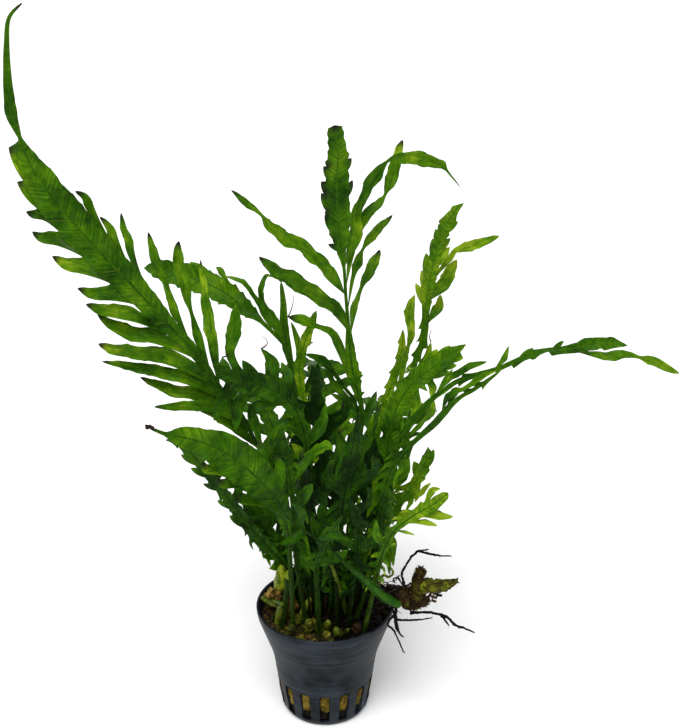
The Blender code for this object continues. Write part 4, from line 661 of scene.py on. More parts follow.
# Stems drawn as round tubes of (across, down, depth, radius)
STEMS = {
    "rhizome": (
        (382, 599, -10, 1.6), (388, 594, -10, 3), (399, 594, -11, 3.2), (409, 598, -11, 4.4),
        (418, 599, -11, 4.2), (424, 600, -11, 2.6), (428, 600, -11, 1),
    ),
    "rhizome_tip": (
        (424.5, 584, -11, 2.4), (434, 586, -12, 2.7), (445, 585, -13, 2.3), (454, 582, -13, 1.2),
        (458, 580.5, -13, 0.4),
    ),
    "rhizome_bud": (
        (416, 586, -11, 2), (418, 578, -11, 2.2), (421, 571, -11, 2.1), (422.5, 568.5, -11, 1.2),
    ),
    "old_stalk_left": ((277, 625, -10, 1.1), (278, 615, -10, 1.1), (281, 605, -10, 0.9)),
    "old_stalk_curved": (
        (262, 597, 2, 0.9), (266, 600, 0, 1.1), (274, 604.5, -2, 1.1), (282, 605.5, -2, 1),
        (288, 603, -2, 0.7),
    ),
    "old_stalk_middle": ((301, 621, -8, 1.3), (304, 611, -8, 1.2), (311, 598, -8, 1)),
    "old_stalk_front": ((310, 631, -15, 1.7), (309, 624, -15, 1.8), (308, 619, -15, 1)),
    "old_stalk_right": ((337, 636, -19, 1.5), (336, 630, -19, 1.4), (335, 627, -19, 0.8)),
    "old_rhizome": ((290, 616, -8, 1.4), (289, 610, -8, 2.4), (288, 604, -8, 2.2), (288, 599, -8, 1)),
}


def seen(across, down, depth):
    """The point that the viewer sees at this place of the picture, depth millimetres behind the middle."""
    ray = (
        FORWARD
        + Vector((1.0, 0.0, 0.0)) * ((across - PICTURE_MIDDLE[0]) / PIXELS_PER_RADIAN)
        - UPWARD * ((down - PICTURE_MIDDLE[1]) / PIXELS_PER_RADIAN)
    )
    return EYE + ray * ((depth - EYE.y) / ray.y)


def picture(point):
    """Where the viewer sees a point: the inverse of seen."""
    ray = point - EYE
    ahead = ray.dot(FORWARD)
    return Vector(
        (
            PICTURE_MIDDLE[0] + PIXELS_PER_RADIAN * ray.x / ahead,
            PICTURE_MIDDLE[1] - PIXELS_PER_RADIAN * ray.dot(UPWARD) / ahead,
        )
    )


def bed_height(x, y):
    """The height of the wool's top, which rises in mounds where roots and old stalks push it up."""
    height = BED
    for across, back, rise, spread in MOUNDS:
        height += rise * math.exp(-((x - across) ** 2 + (y - back) ** 2) / spread**2)
    return height


def foot_of(frond):
    """Where a frond's stalk leaves the bed, as the start of its rib: nothing for one that lies free."""
    if "foot" not in frond:
        return []
    x, y = frond["foot"]
    return [(Vector((x, y, bed_height(x, y) + FOOT_GAP)), 0.9)]


def along(rib, place):
    """(point, half width) on a smooth curve through the rib's points, at a place counted in points."""
    index = min(int(place), len(rib) - 2)
    t = place - index
    near = [rib[min(max(index + step, 0), len(rib) - 1)] for step in (-1, 0, 1, 2)]
    a, b, c, d = (point for point, _ in near)
    point = 0.5 * (2 * b + (c - a) * t + (2 * a - 5 * b + 4 * c - d) * t**2 + (3 * b - a - 3 * c + d) * t**3)
    return point, near[1][1] + (near[2][1] - near[1][1]) * t


def drawn(frond):
    """A drawn frond as (rib, leaflets): points with half widths, and (rib place, points, widths, roll)."""
    wider = 1 / math.cos(math.radians(frond.get("turn", 0)))
    rib = foot_of(frond)
    rib += [(seen(across, down, depth), half * wider) for across, down, depth, half in frond["rib"]]
    steps = [step / 20 for step in range(20 * (len(rib) - 1) + 1)]
    on_picture = [picture(along(rib, step)[0]) for step in steps]
    leaves = []
    for number, (tip_depth, *points) in enumerate(frond["leaves"]):
        base = Vector(points[0][:2])
        place = min(zip(steps, on_picture), key=lambda pair: (pair[1] - base).length)[0]
        start = along(rib, place)[0]
        runs = [0.0]
        for before, after in zip(points, points[1:]):
            runs.append(runs[-1] + math.dist(before[:2], after[:2]))
        path = [start]
        path += [
            seen(across, down, start.y + tip_depth * run / runs[-1])
            for (across, down, _), run in zip(points[1:], runs[1:])
        ]
        roll = math.radians(ROLLS[number % len(ROLLS)])
        widths = [width / math.cos(roll) for _, _, width in points]
        leaves.append((place, path, widths, roll))
    return rib, leaves


def arching(foot, heading, reach, rise, pairs, longest):
    """A frond that rises and arches over, with leaflets that shorten to its tip, as (rib, leaflets)."""
    outward = Vector((math.cos(math.radians(heading)), math.sin(math.radians(heading)), 0.0))
    start = foot_of({"foot": foot})[0][0]
    rib = []
    for step in range(8):
        t = step / 7
        half = 0.8 + 2.6 * math.sin(math.pi * max(0.0, t - 0.3) / 0.7)
        climb = Vector((0.0, 0.0, rise * math.sin(2.1 * t) / 0.88))
        rib.append((start + outward * (reach * t**1.7) + climb, half))
    rib[-1] = (rib[-1][0], 0.4)
    leaves = []
    for pair in range(pairs):
        share = pair / (pairs - 1)
        place = 7 * (0.4 + 0.5 * share)
        length = longest * math.sin(math.pi * (0.3 + 0.6 * share))
        for side in (-1, 1):
            base = along(rib, place)[0]
            ahead = (along(rib, min(place + 0.1, 7.0))[0] - base).normalized()
            sideways = side * ahead.cross(Vector((0, 0, 1))).normalized()
            path = [base]
            for part in (0.5, 1.0):
                out = sideways * (0.8 * length * part) + ahead * (0.6 * length * part**1.5)
                path.append(base + out + Vector((0, 0, -0.2 * length * part**2)))
            leaves.append((place, path, [5.0, 4.6, 0.0], 0.0))
    return rib, leaves


def facing_of(degrees):
    """A function that gives the direction in which a blade faces away at a point: the viewer's, turned."""
    turn = Matrix.Rotation(math.radians(degrees), 3, "Z")
    return lambda point: turn @ (point - EYE).normalized()


class Shape:
    """Points and faces that grow into one closed mesh."""

    def __init__(self):
        self.points = []
        self.faces = []

    def add(self, *points):
        self.points += points
        return list(range(len(self.points) - len(points), len(self.points)))

    def fan(self, top, bottom, out_top, out_bottom, flip):
        """Joins a run of edge points to the low and high points of a leaflet's next ring."""
        faces = []
        middle = (len(top) - 1) // 2
        rising = math.dist(self.points[top[middle]], self.points[out_top[-1]])
        falling = math.dist(self.points[top[middle + 1]], self.points[out_top[0]])
        for i in range(len(top) - 1):
            for run, out, turned in ((top, out_top, False), (bottom, out_bottom, True)):
                if i != middle or out[0] == out[-1]:
                    cuts = [(run[i], out[0] if i <= middle else out[-1], run[i + 1])]
                elif rising < falling:
                    cuts = [(run[i], out[0], out[-1]), (run[i], out[-1], run[i + 1])]
                else:
                    cuts = [(run[i], out[0], run[i + 1]), (out[0], out[-1], run[i + 1])]
                faces += [cut[::-1] if turned else cut for cut in cuts]
        for low, sign in ((0, 1), (-1, -1)):
            wall = [out_top[low], top[low], bottom[low], out_bottom[low]]
            if out_top[low] == out_bottom[low]:
                wall.pop()
            faces.append(tuple(wall[::sign]))
        self.faces += [face[::-1] if flip else face for face in faces]

    def leaflet(self, top, bottom, leaf, facing, flip, margin=0.0):
        """Grows a flat leaflet out of a run of edge points. flip is for the rib's left side."""
        _, path, widths, roll = leaf
        for i in range(1, len(path)):
            if i == len(path) - 1:
                tip = self.add(path[i])
                self.fan(top, bottom, tip * 2, tip * 2, flip)
                return
            ahead = (path[i + 1] - path[i - 1]).normalized()
            across = ahead.cross(facing(path[i])).normalized() * (-1 if flip else 1)
            turn = Matrix.Rotation(roll * min(1.0, i / 2), 3, ahead)
            across = turn @ across
            front = turn @ -facing(path[i])
            lift = (front - ahead * front.dot(ahead)).normalized() * (LEAF_THICKNESS / 2 + margin)
            half = across * (widths[i] / 2 + margin)
            out_top = self.add(path[i] - half + lift, path[i] + half + lift)
            out_bottom = self.add(path[i] - half - lift, path[i] + half - lift)
            self.fan(top, bottom, out_top, out_bottom, flip)
            top, bottom = out_top, out_bottom


def frame_at(rib, place, facing):
    """(point, half width, across, lift) of the rib's flat bar at a place."""
    last = len(rib) - 1
    point, half = along(rib, place)
    ahead = (along(rib, min(place + 0.05, last))[0] - along(rib, max(place - 0.05, 0))[0]).normalized()
    across = facing(point).cross(ahead).normalized()
    share = min(1.0, place / (0.6 * last))
    thickness = STALK_THICKNESS + (RIB_THICKNESS - STALK_THICKNESS) * share
    return point, half, across, across.cross(ahead).normalized() * (thickness / 2)


def spans(rib, leaves, facing):
    """Where each leaflet sits on its side of the rib: {side: [(from place, to place, leaflet)]}, in order."""
    last = len(rib) - 1
    found = {-1: [], 1: []}
    for leaf in leaves:
        place, path, widths, _ = leaf
        point, _, across, _ = frame_at(rib, place, facing)
        speed = (along(rib, min(place + 0.1, last))[0] - along(rib, max(place - 0.1, 0))[0]).length / 0.2
        side = 1 if (path[1] - point).dot(across) > 0 else -1
        reach = max(widths[0], 0.8) / 2 / max(speed, 1e-6)
        found[side].append([max(place - reach, 0.02), min(place + reach, last - 0.02), leaf])
    for side, row in found.items():
        row.sort(key=lambda span: span[0] + span[1])
        for span in row:
            span[2] = beside(rib, span, side, facing)
        for before, after in zip(row, row[1:]):
            if before[1] > after[0]:
                before[1] = after[0] = (before[1] + after[0]) / 2
    return found


def beside(rib, span, side, facing):
    """The leaflet moved sideways where it would lie over its own rib's blade, with its base kept."""
    place, path, widths, roll = span[2]
    last = len(rib) - 1
    moved = [path[0]]
    for i in range(1, len(path)):
        point = path[i]
        near = min(
            (step / 10 for step in range(10 * last + 1)),
            key=lambda at: (along(rib, at)[0] - point).length,
        )
        centre, half, across, lift = frame_at(rib, near, facing)
        ahead = across.cross(lift.normalized())
        slant = abs((point - path[i - 1]).normalized().dot(ahead))
        needed = half + EDGE_GAP + widths[i] / 2 * slant
        short = needed - side * (point - centre).dot(across)
        if short > 0 and abs((point - centre).dot(ahead)) < 1.0 and abs((point - centre).dot(lift)) < 3.0:
            point = point + across * (side * short)
        moved.append(point)
    return (place, moved, widths, roll)


def leaf_tree(rib, span, side, facing, leaf, margin):
    """A leaflet alone, as a tree for clash tests: the part that stands free of its rib."""
    shape = Shape()
    rows = ([], [])
    for place in span[:2]:
        point, half, across, lift = frame_at(rib, place, facing)
        edge = point + across * (side * half)
        lift = lift.normalized() * (LEAF_THICKNESS / 2 + margin)
        rows[0].append(edge + lift)
        rows[1].append(edge - lift)
    top = shape.add(*rows[0])
    bottom = shape.add(*rows[1])
    shape.leaflet(top, bottom, leaf, facing, side < 0, margin)
    return BVHTree.FromPolygons(shape.points, shape.faces)


def rib_tree(rib, facing, margin):
    """The rib alone as a flat bar, as a tree for clash tests."""
    shape = Shape()
    rings = []
    for place in range(len(rib)):
        point, half, across, lift = frame_at(rib, place, facing)
        side = across * (max(half, 0.2) + margin)
        lift = lift.normalized() * (lift.length + margin)
        left = point - side
        right = point + side
        rings.append(shape.add(left + lift, left - lift, right + lift, right - lift))
    for ring, after in zip(rings, rings[1:]):
        for a, b in ((0, 2), (3, 1), (2, 3), (1, 0)):
            shape.faces.append((ring[a], ring[b], after[b], after[a]))
    shape.faces.append(tuple(rings[0][i] for i in (0, 1, 3, 2)))
    shape.faces.append(tuple(rings[-1][i] for i in (2, 3, 1, 0)))
    return BVHTree.FromPolygons(shape.points, shape.faces)


def swung(leaf, swing, share):
    """The leaflet cut to a share of its length, with its tip moved along the viewer's line of sight."""
    place, path, widths, roll = leaf
    cut = []
    for i, point in enumerate(path):
        at = path[0] + (point - path[0]) * share
        bend = i / (len(path) - 1)
        ray = at - EYE
        cut.append(EYE + ray * (1 + swing * bend / ray.y))
    return (place, cut, widths, roll)


def fitted(plans, offered, solid, margin, swings, thinner):
    """The fronds with offered leaflets, each swung or shortened to clear what is there, or left out.

    thinner narrows a shortened leaflet by the same share. Trees of all the fronds come with them.
    """
    trees = {}
    for name, (rib, kept, facing) in plans.items():
        trees[name] = [rib_tree(rib, facing, margin)]
        for side, row in spans(rib, kept, facing).items():
            trees[name] += [leaf_tree(rib, span, side, facing, span[2], margin) for span in row]
    filled = {}
    for name, (rib, kept, facing) in plans.items():
        others = [tree for other, group in trees.items() if other != name for tree in group] + solid
        more = []
        own = []
        for side, row in spans(rib, offered.get(name, []), facing).items():
            for span in row:
                for share, swing in ((share, swing) for share in SHORTER for swing in swings):
                    place, path, widths, roll = swung(span[2], swing, share)
                    if thinner:
                        widths = [width * share for width in widths]
                    moved = (place, path, widths, roll)
                    tree = leaf_tree(rib, span, side, facing, moved, margin)
                    if not any(tree.overlap(other) for other in others):
                        more.append(moved)
                        own.append(tree)
                        break
        trees[name] += own
        filled[name] = (rib, kept + more, facing)
    return filled, [tree for group in trees.values() for tree in group]


def bare_and_leaves(plans):
    """The plans without their leaflets, and the leaflets by name."""
    bare = {name: (rib, [], facing) for name, (rib, _, facing) in plans.items()}
    return bare, {name: leaves for name, (_, leaves, _) in plans.items()}


def rings_and_caps(sides, count):
    """The faces of a closed round form: rings of points joined in order, with a cap at each end."""
    faces = []
    for ring in range(count - 1):
        for side in range(sides):
            after = (side + 1) % sides
            low = ring * sides
            high = low + sides
            faces.append((low + side, low + after, high + after, high + side))
    faces.append(tuple(range(sides)))
    faces.append(tuple(range((count - 1) * sides, count * sides)))
    return faces


def tube(path, radii, sides, margin=0.0):
    """(points, faces) of a closed round stem through points, with a radius at each."""
    points = []
    for i, (centre, radius) in enumerate(zip(path, radii)):
        ahead = (path[min(i + 1, len(path) - 1)] - path[max(i - 1, 0)]).normalized()
        across = ahead.cross(Vector((0.0, 1.0, 0.0))).normalized()
        other = ahead.cross(across)
        for side in range(sides):
            angle = TURN * side / sides
            points.append(centre + (across * math.cos(angle) + other * math.sin(angle)) * (radius + margin))
    return points, rings_and_caps(sides, len(path))


def radius_at(height):
    """The pot's outer radius at a height."""
    for (low, low_radius), (high, high_radius) in zip(POT_OUTLINE, POT_OUTLINE[1:]):
        if low <= height <= high:
            return low_radius + (high_radius - low_radius) * (height - low) / (high - low)
    return RIM_RADIUS


def polar(radius, angle, height):
    """The point at a radius, an angle and a height about the pot's axis."""
    return Vector((radius * math.cos(angle), radius * math.sin(angle), height))


def any_turn(chance):
    return chance.uniform(0, TURN)


def any_spot(chance, reach):
    """(x, y) anywhere in a circle about the pot's axis."""
    radius = reach * math.sqrt(chance.random())
    angle = any_turn(chance)
    return radius * math.cos(angle), radius * math.sin(angle)


def any_way(chance):
    """A random direction."""
    return Vector((chance.uniform(-1, 1), chance.uniform(-1, 1), chance.uniform(-1, 1))).normalized()


def runs_of(points):
    """The length of the way from the first point to each."""
    runs = [0.0]
    for before, after in zip(points, points[1:]):
        runs.append(runs[-1] + (after - before).length)
    return runs


def look(name, key, otherwise=None):
    """What a frond's entry says of its looks."""
    entry = ARCHING_LOOKS if name in ARCHING else FRONDS.get(name, {})
    return entry.get(key, otherwise)


def layout():
    """Every frond and root by name, as (rib, leaflets, facing), settled as the solids are, and the stems."""
    solid = []
    for stem in STEMS.values():
        path = [seen(across, down, depth) for across, down, depth, _ in stem]
        radii = [radius for *_, radius in stem]
        solid.append(BVHTree.FromPolygons(*tube(path, radii, 6, GAP)))
    plans = {}
    for name, frond in (FRONDS | ROOTS).items():
        rib, leaves = drawn(frond)
        plans[name] = (rib, leaves, facing_of(frond.get("turn", 0)))
    for name, rule in ARCHING.items():
        rib, leaves = arching(*rule)
        heading = math.radians(rule[1])
        away = Vector((math.cos(heading), math.sin(heading), -1.0)).normalized()
        plans[name] = (rib, leaves, lambda point, away=away: away)
    settled, _ = fitted(*bare_and_leaves(plans), solid, GAP, SWINGS, False)
    for name, (rib, _, _) in settled.items():
        for i, half in look(name, "redrawn", {}).items():
            rib[i] = (rib[i][0], half)
    return settled, solid


def wobble(x, y, z=0.0):
    """Smooth noise from -1 to 1."""
    return noise.noise(Vector((x, y, z + 0.37)))


def smooth(share):
    """0 to 1 with soft ends."""
    share = min(max(share, 0.0), 1.0)
    return share * share * (3 - 2 * share)


def fringe(run, seed):
    """0 to 1: a saw edge of uneven teeth that point forwards."""
    at = run / TOOTH_PITCH + seed * 7.1
    tooth = math.floor(at)
    rise = at - tooth
    size = 0.55 + 0.6 * wobble(tooth * 1.37, seed)
    return max(size, 0.0) * rise**1.6 * min(1.0, (1 - rise) * 6)


class Skin:
    """A sheet that grows by rows of points and is then thickened to a thin closed solid."""

    def __init__(self):
        self.points = []
        self.halves = []
        self.tones = []
        self.faces = []
        self.kinds = []
        self.tips = []
        self.veins = []
        self.places = []

    def add(self, point, half, tone, place):
        """A new point of the sheet: half its thickness, how light it is, and its place in the leaf.

        The place is how far it lies across the veins and along them, and how far up the frond from 0 to 1.
        """
        self.points.append(point)
        self.halves.append(half)
        self.tones.append(tone)
        self.places.append(place)
        return len(self.points) - 1

    def quad(self, a, b, c, d, kind=0):
        face = [a, b, c, d]
        face = [i for k, i in enumerate(face) if i != face[k - 1]]
        if len(face) > 2:
            self.faces.append(tuple(face))
            self.kinds.append(kind)

    def join_rows(self, low, high, side):
        """Faces between two rows of a leaflet."""
        for j in range(len(low) - 1):
            if side > 0:
                self.quad(low[j], high[j], high[j + 1], low[j + 1])
            else:
                self.quad(low[j], low[j + 1], high[j + 1], high[j])


def open_place(point):
    """Whether the viewer sees a point inside one of the openings of the plant."""
    across, down = picture(point)
    return any(left < across < right and top < down < low for left, top, right, low in OPEN)


def lobes_of(name, rib, facing, kept, shape, low=0.3):
    """Pointed lobes for the free stretches of a blade's edge, smaller towards its foot and its tip."""
    pitch, size, lean = shape
    chance = random.Random(name)
    blade = Blade(name, rib, facing, 0.0)
    taken = {
        side: [(blade.run(start), blade.run(end)) for start, end, _ in row]
        for side, row in spans(rib, kept, facing).items()
    }
    clear = 0.5 * pitch
    lobes = []
    for side in (-1, 1):
        run = blade.length * low + pitch * (0.75 if side > 0 else 0.25)
        while run < blade.length - 2.0:
            here = run
            run += pitch * chance.uniform(0.8, 1.25)
            place = blade.place(here)
            point, half, across, lift = frame_at(rib, place, facing)
            if half < 0.6 or any(start - clear < here < end + clear for start, end in taken[side]):
                continue
            share = here / blade.length
            length = size * math.sin(math.pi * (0.24 + 0.62 * share)) * chance.uniform(0.75, 1.35)
            angle = math.radians(lean * (1.1 - 0.5 * share) + chance.uniform(-8, 8))
            out = across * side
            front = lift.normalized()
            ahead = across.cross(front)
            away = out * math.sin(angle) + ahead * math.cos(angle)
            later = (away + ahead * 0.45).normalized()
            tilt = front * chance.uniform(-0.34, 0.34)
            edge = point + out * (0.9 * half)
            if length < 4.4:
                path = [point, edge + (later + tilt) * max(length, 1.8)]
                widths = [0.55 * pitch, 0.0]
            else:
                path = [
                    point,
                    edge + (away + tilt * 0.3) * (0.36 * length),
                    edge + (away + later) * (0.35 * length) + tilt * (0.5 * length),
                    edge + (later + tilt) * length,
                ]
                wide = chance.uniform(0.85, 1.15)
                widths = [min(0.9 * pitch, 0.7 * length), 0.25 * wide * length, 0.14 * wide * length, 0.0]
            if any(open_place(spot) for spot in path[1:]) or picture(path[-1]).y > LOBES_END:
                continue
            lobes.append((place, path, widths, chance.uniform(-0.4, 0.4)))
    return lobes


def grown_out(settled, solid):
    """The settled fronds with lobes cut into their blades, and trees of all of them."""
    extra = {}
    for name, (rib, kept, facing) in settled.items():
        lobes = look(name, "lobes")
        if lobes:
            share, *shape = lobes
            rib = [(point, half * share if half > BLADE_HALF else half) for point, half in rib]
            settled[name] = (rib, kept, facing)
            extra[name] = lobes_of(name, rib, facing, kept, shape)
    return fitted(settled, extra, solid, LOBE_GAP, LOBE_SWINGS, True)


def filler_start(forward, chance):
    """Where a small frond stands, how high it rises and how far it leans."""
    if forward:
        x, y = chance.uniform(-13, 14), chance.uniform(-9, -1)
        height = chance.uniform(*FRONT_HEIGHTS)
        lean = Vector((x * 0.3 + chance.uniform(-9, 9), -chance.uniform(8, 14 + 0.4 * height), 0))
        return x, y, height, lean
    x, y = any_spot(chance, 18.0)
    x, y = x - 1.0, y - 3.0
    height = chance.uniform(*FILLER_HEIGHTS)
    lean = Vector((x * 0.35 + chance.uniform(-7, 7), y * 0.5 + chance.uniform(-8, 8), 0))
    return x, y, height, lean


def filler_plans(solid):
    """Small lobed fronds that rise from the bed between the others, where they clear what is there."""
    chance = random.Random(SEED + 9)
    solid = list(solid)
    plans = {}
    tries = 0
    while len(plans) < FILLERS + FRONT_FILLERS and tries < FILLER_TRIES:
        tries += 1
        x, y, height, lean = filler_start(len(plans) < FRONT_FILLERS, chance)
        if math.hypot(x, y) > FILLER_REACH or y < FRONT_ROW:
            continue
        bend = Vector((chance.uniform(-2, 2), chance.uniform(-2, 2), 0))
        wide = chance.uniform(0.5, 1.0)
        rib = []
        for step in range(8):
            t = step / 7
            point = Vector((x, y, bed_height(x, y) + 0.5)) + lean * t**1.5 + bend * math.sin(5 * t)
            half = 0.3 + (wide - 0.3) * smooth((height * t - 8) / 7) * (1 - 0.6 * smooth((t - 0.6) / 0.4))
            rib.append((point + Vector((0, 0, height * t)), half))
        rib[-1] = (rib[-1][0], 0.3)
        facing = facing_of(chance.uniform(-60, 60))
        tree = rib_tree(rib, facing, FILLER_GAP)
        if any(open_place(point) for point, _ in rib[1:]) or any(tree.overlap(other) for other in solid):
            continue
        solid.append(tree)
        name = f"filler_{len(plans)}"
        shape = (chance.uniform(2.8, 4.2), chance.uniform(5.5, 10.0), chance.uniform(42, 58))
        plans[name] = (rib, lobes_of(name, rib, facing, [], shape, 0.16), facing)
    return plans


def places_of(rib, rows):
    """Places along a rib for its rows of points: close enough together, and one at each leaflet's ends."""
    last = len(rib) - 1
    ends = {0.0, float(last)}
    for row in rows.values():
        ends |= {round(end, 4) for span in row for end in span[:2]}
    ends = sorted(ends)
    places = [0.0]
    for before, after in zip(ends, ends[1:]):
        step = ROW
        for row in rows.values():
            for start, end, _ in row:
                if start - 1e-4 <= before and after <= end + 1e-4:
                    width = (along(rib, end)[0] - along(rib, start)[0]).length
                    step = min(step, max(width / 6, 0.3))
        length = (along(rib, after)[0] - along(rib, before)[0]).length
        count = max(1, round(length / step))
        places += [before + (after - before) * i / count for i in range(1, count + 1)]
    return places


class Blade:
    """The surface of a frond's rib and blade, as a function of place and sideways distance."""

    def __init__(self, name, rib, facing, seed):
        self.rib = rib
        self.facing = facing
        self.seed = seed
        self.last = len(rib) - 1
        self.stalk = look(name, "stalk", STALK_CORE)
        self.rounding = 0.15 if look(name, "blunt") else 1.4
        self.teeth = look(name, "teeth", PLAIN_TEETH)[0]
        self.taken = {-1: [], 1: []}
        self.runs = runs_of([along(rib, step / 20)[0] for step in range(20 * self.last + 1)])
        self.length = self.runs[-1]

    def run(self, place):
        """Millimetres along the rib at a place."""
        at = min(max(place, 0.0), self.last) * 20
        low = min(int(at), len(self.runs) - 2)
        return self.runs[low] + (self.runs[low + 1] - self.runs[low]) * (at - low)

    def place(self, run):
        """The place that many millimetres along the rib."""
        at = bisect.bisect_left(self.runs, run)
        at = min(max(at, 1), len(self.runs) - 1)
        low, high = self.runs[at - 1], self.runs[at]
        return min(max((at - 1 + (run - low) / max(high - low, 1e-6)) / 20, 0.0), self.last)

    def core(self, place):
        """The radius of the thick midrib."""
        share = self.run(place) / self.length
        _, half = along(self.rib, place)
        return min(0.86 * half, TIP_CORE + (self.stalk - TIP_CORE) * (1 - share) ** 1.6)

    def half(self, place, side):
        """Half the blade's width on one side, with a rounded end, teeth and an uneven edge."""
        _, half = along(self.rib, place)
        run = self.run(place)
        left = self.length - run
        if half > BLADE_HALF:
            half *= 1 + 0.10 * wobble(run / 4.1, self.seed, side)
            if not any(start < run < end for start, end in self.taken[side]):
                free = min([abs(run - edge) for ends in self.taken[side] for edge in ends] or [9.0])
                height = self.teeth * smooth(free / 1.2) * smooth((half - BLADE_HALF) / BLADE_HALF)
                half += height * fringe(run, self.seed + side)
        rounding = min(1.0, math.sqrt(max(left, 0.0) / self.rounding))
        return max(half * rounding, self.core(place) * 1.12, 0.16)

    def at(self, place, sideways):
        point, _, across, lift = frame_at(self.rib, place, self.facing)
        front = lift.normalized()
        run = self.run(place)
        out = max(abs(sideways) - self.core(place), 0.0)
        side = 1.0 if sideways > 0 else -1.0
        rise = 0.20 * out
        wave = 0.22 * out * math.sin(run / 2.0 + self.seed + 1.7 * side)
        return point + across * sideways + front * (rise + wave)

    def columns(self, place):
        """Sideways distances and half thicknesses of one row of points."""
        core = self.core(place)
        inner = [0.0, 0.45 * core, 0.8 * core, core]
        thick = [max(LEAF_HALF, 0.95 * math.sqrt(max(core**2 - x**2, 0.0))) for x in inner]
        thick += [LEAF_HALF, LEAF_HALF, LEAF_HALF * 0.6]
        sides = []
        for side in (-1, 1):
            half = self.half(place, side)
            outer = [core + (half - core) * x for x in (0.35, 0.7, 1.0)]
            sides.append([side * x for x in inner + outer])
        return sides[0][:0:-1] + sides[1], thick[:0:-1] + thick


def curve_width(widths, s):
    """The width of a leaflet at a place along its path: smooth, and drawn out to a point at its tip."""
    last = len(widths) - 1
    index = min(int(s), last - 1)
    t = s - index
    if index == last - 1:
        return widths[index] * (1 - t) ** 0.85 * (1 + 0.25 * t)
    return widths[index] + (widths[index + 1] - widths[index]) * smooth(t)


def leaf_half(v, share=1.0):
    """Half the thickness of a leaf, which gets thinner to its edges, at v from -1 to 1."""
    return LEAF_HALF * share * (1 - 0.45 * abs(v) ** 4)


class Leaflet:
    """A leaflet's surface by place along its path and by v, from -1 at its lower edge to 1 at its upper."""

    def __init__(self, side, leaf, facing, seed, teeth):
        _, self.path, self.widths, self.roll = leaf
        self.side = side
        self.facing = facing
        self.seed = seed
        self.teeth = teeth
        self.line = list(zip(self.path, self.widths))
        self.last = len(self.path) - 1
        self.runs = runs_of(self.path)

    def run(self, s):
        index = min(int(s), self.last - 1)
        return self.runs[index] + (self.runs[index + 1] - self.runs[index]) * (s - index)

    def ring(self, s):
        point, _ = along(self.line, s)
        later = along(self.line, min(s + 0.06, self.last))[0]
        ahead = (later - along(self.line, max(s - 0.06, 0.0))[0]).normalized()
        across = ahead.cross(self.facing(point)).normalized() * self.side
        across = Matrix.Rotation(self.roll * min(1.0, s / 2), 3, ahead) @ across
        return point, ahead, across, ahead.cross(across) * self.side

    def row(self, s, spread):
        """The points of one row across, at each v of the spread."""
        point, _, across, front = self.ring(s)
        width = curve_width(self.widths, s)
        run = self.run(s)
        left = self.runs[-1] - run
        points = []
        for v in spread:
            edge = 3.0 if v > 0 else 9.0
            wave = 1 + 0.13 * wobble(run / 3.3, self.seed + edge) + 0.07 * wobble(run / 1.3, self.seed, edge)
            out = abs(v) * width / 2 * wave
            tooth = self.teeth * fringe(run, self.seed + edge) * smooth(width / 3) * smooth(left / 3)
            out += tooth * abs(v) ** 2
            rise = 0.18 * out + 0.26 * out * math.sin(run / 1.7 + self.seed + edge)
            points.append(point + across * (out if v > 0 else -out) + front * rise)
        return points


def middle_of(points):
    """The point halfway along a row."""
    count = len(points)
    return (points[(count - 1) // 2] + points[count // 2]) / 2


def grow_tooth(skin, edge, side, tip, outward, tones):
    """A short pointed tooth on a run of edge points: its lower edge swells and its upper one is hollow."""
    starts = [skin.points[i] for i in edge]
    reach = (tip - middle_of(starts)).length
    rows = max(3, round(reach / 0.6))
    before = edge
    for row in range(1, rows + 1):
        t = row / rows
        tone = tones[0] + (tones[1] - tones[0]) * t
        if row == rows:
            now = [skin.add(tip, LEAF_HALF * 0.5, tone, (0.0, reach, 1.0))] * len(edge)
        else:
            now = []
            for j, start in enumerate(starts):
                v = 2 * j / (len(starts) - 1) - 1
                swell = outward * (-v * 0.16 * reach * 4 * t * (1 - t))
                place = (v * 2 * (1 - t), reach * t, 1.0)
                now.append(skin.add(start.lerp(tip, t) + swell, leaf_half(v), tone, place))
        skin.join_rows(before, now, side)
        before = now
    skin.tips.append(tip)


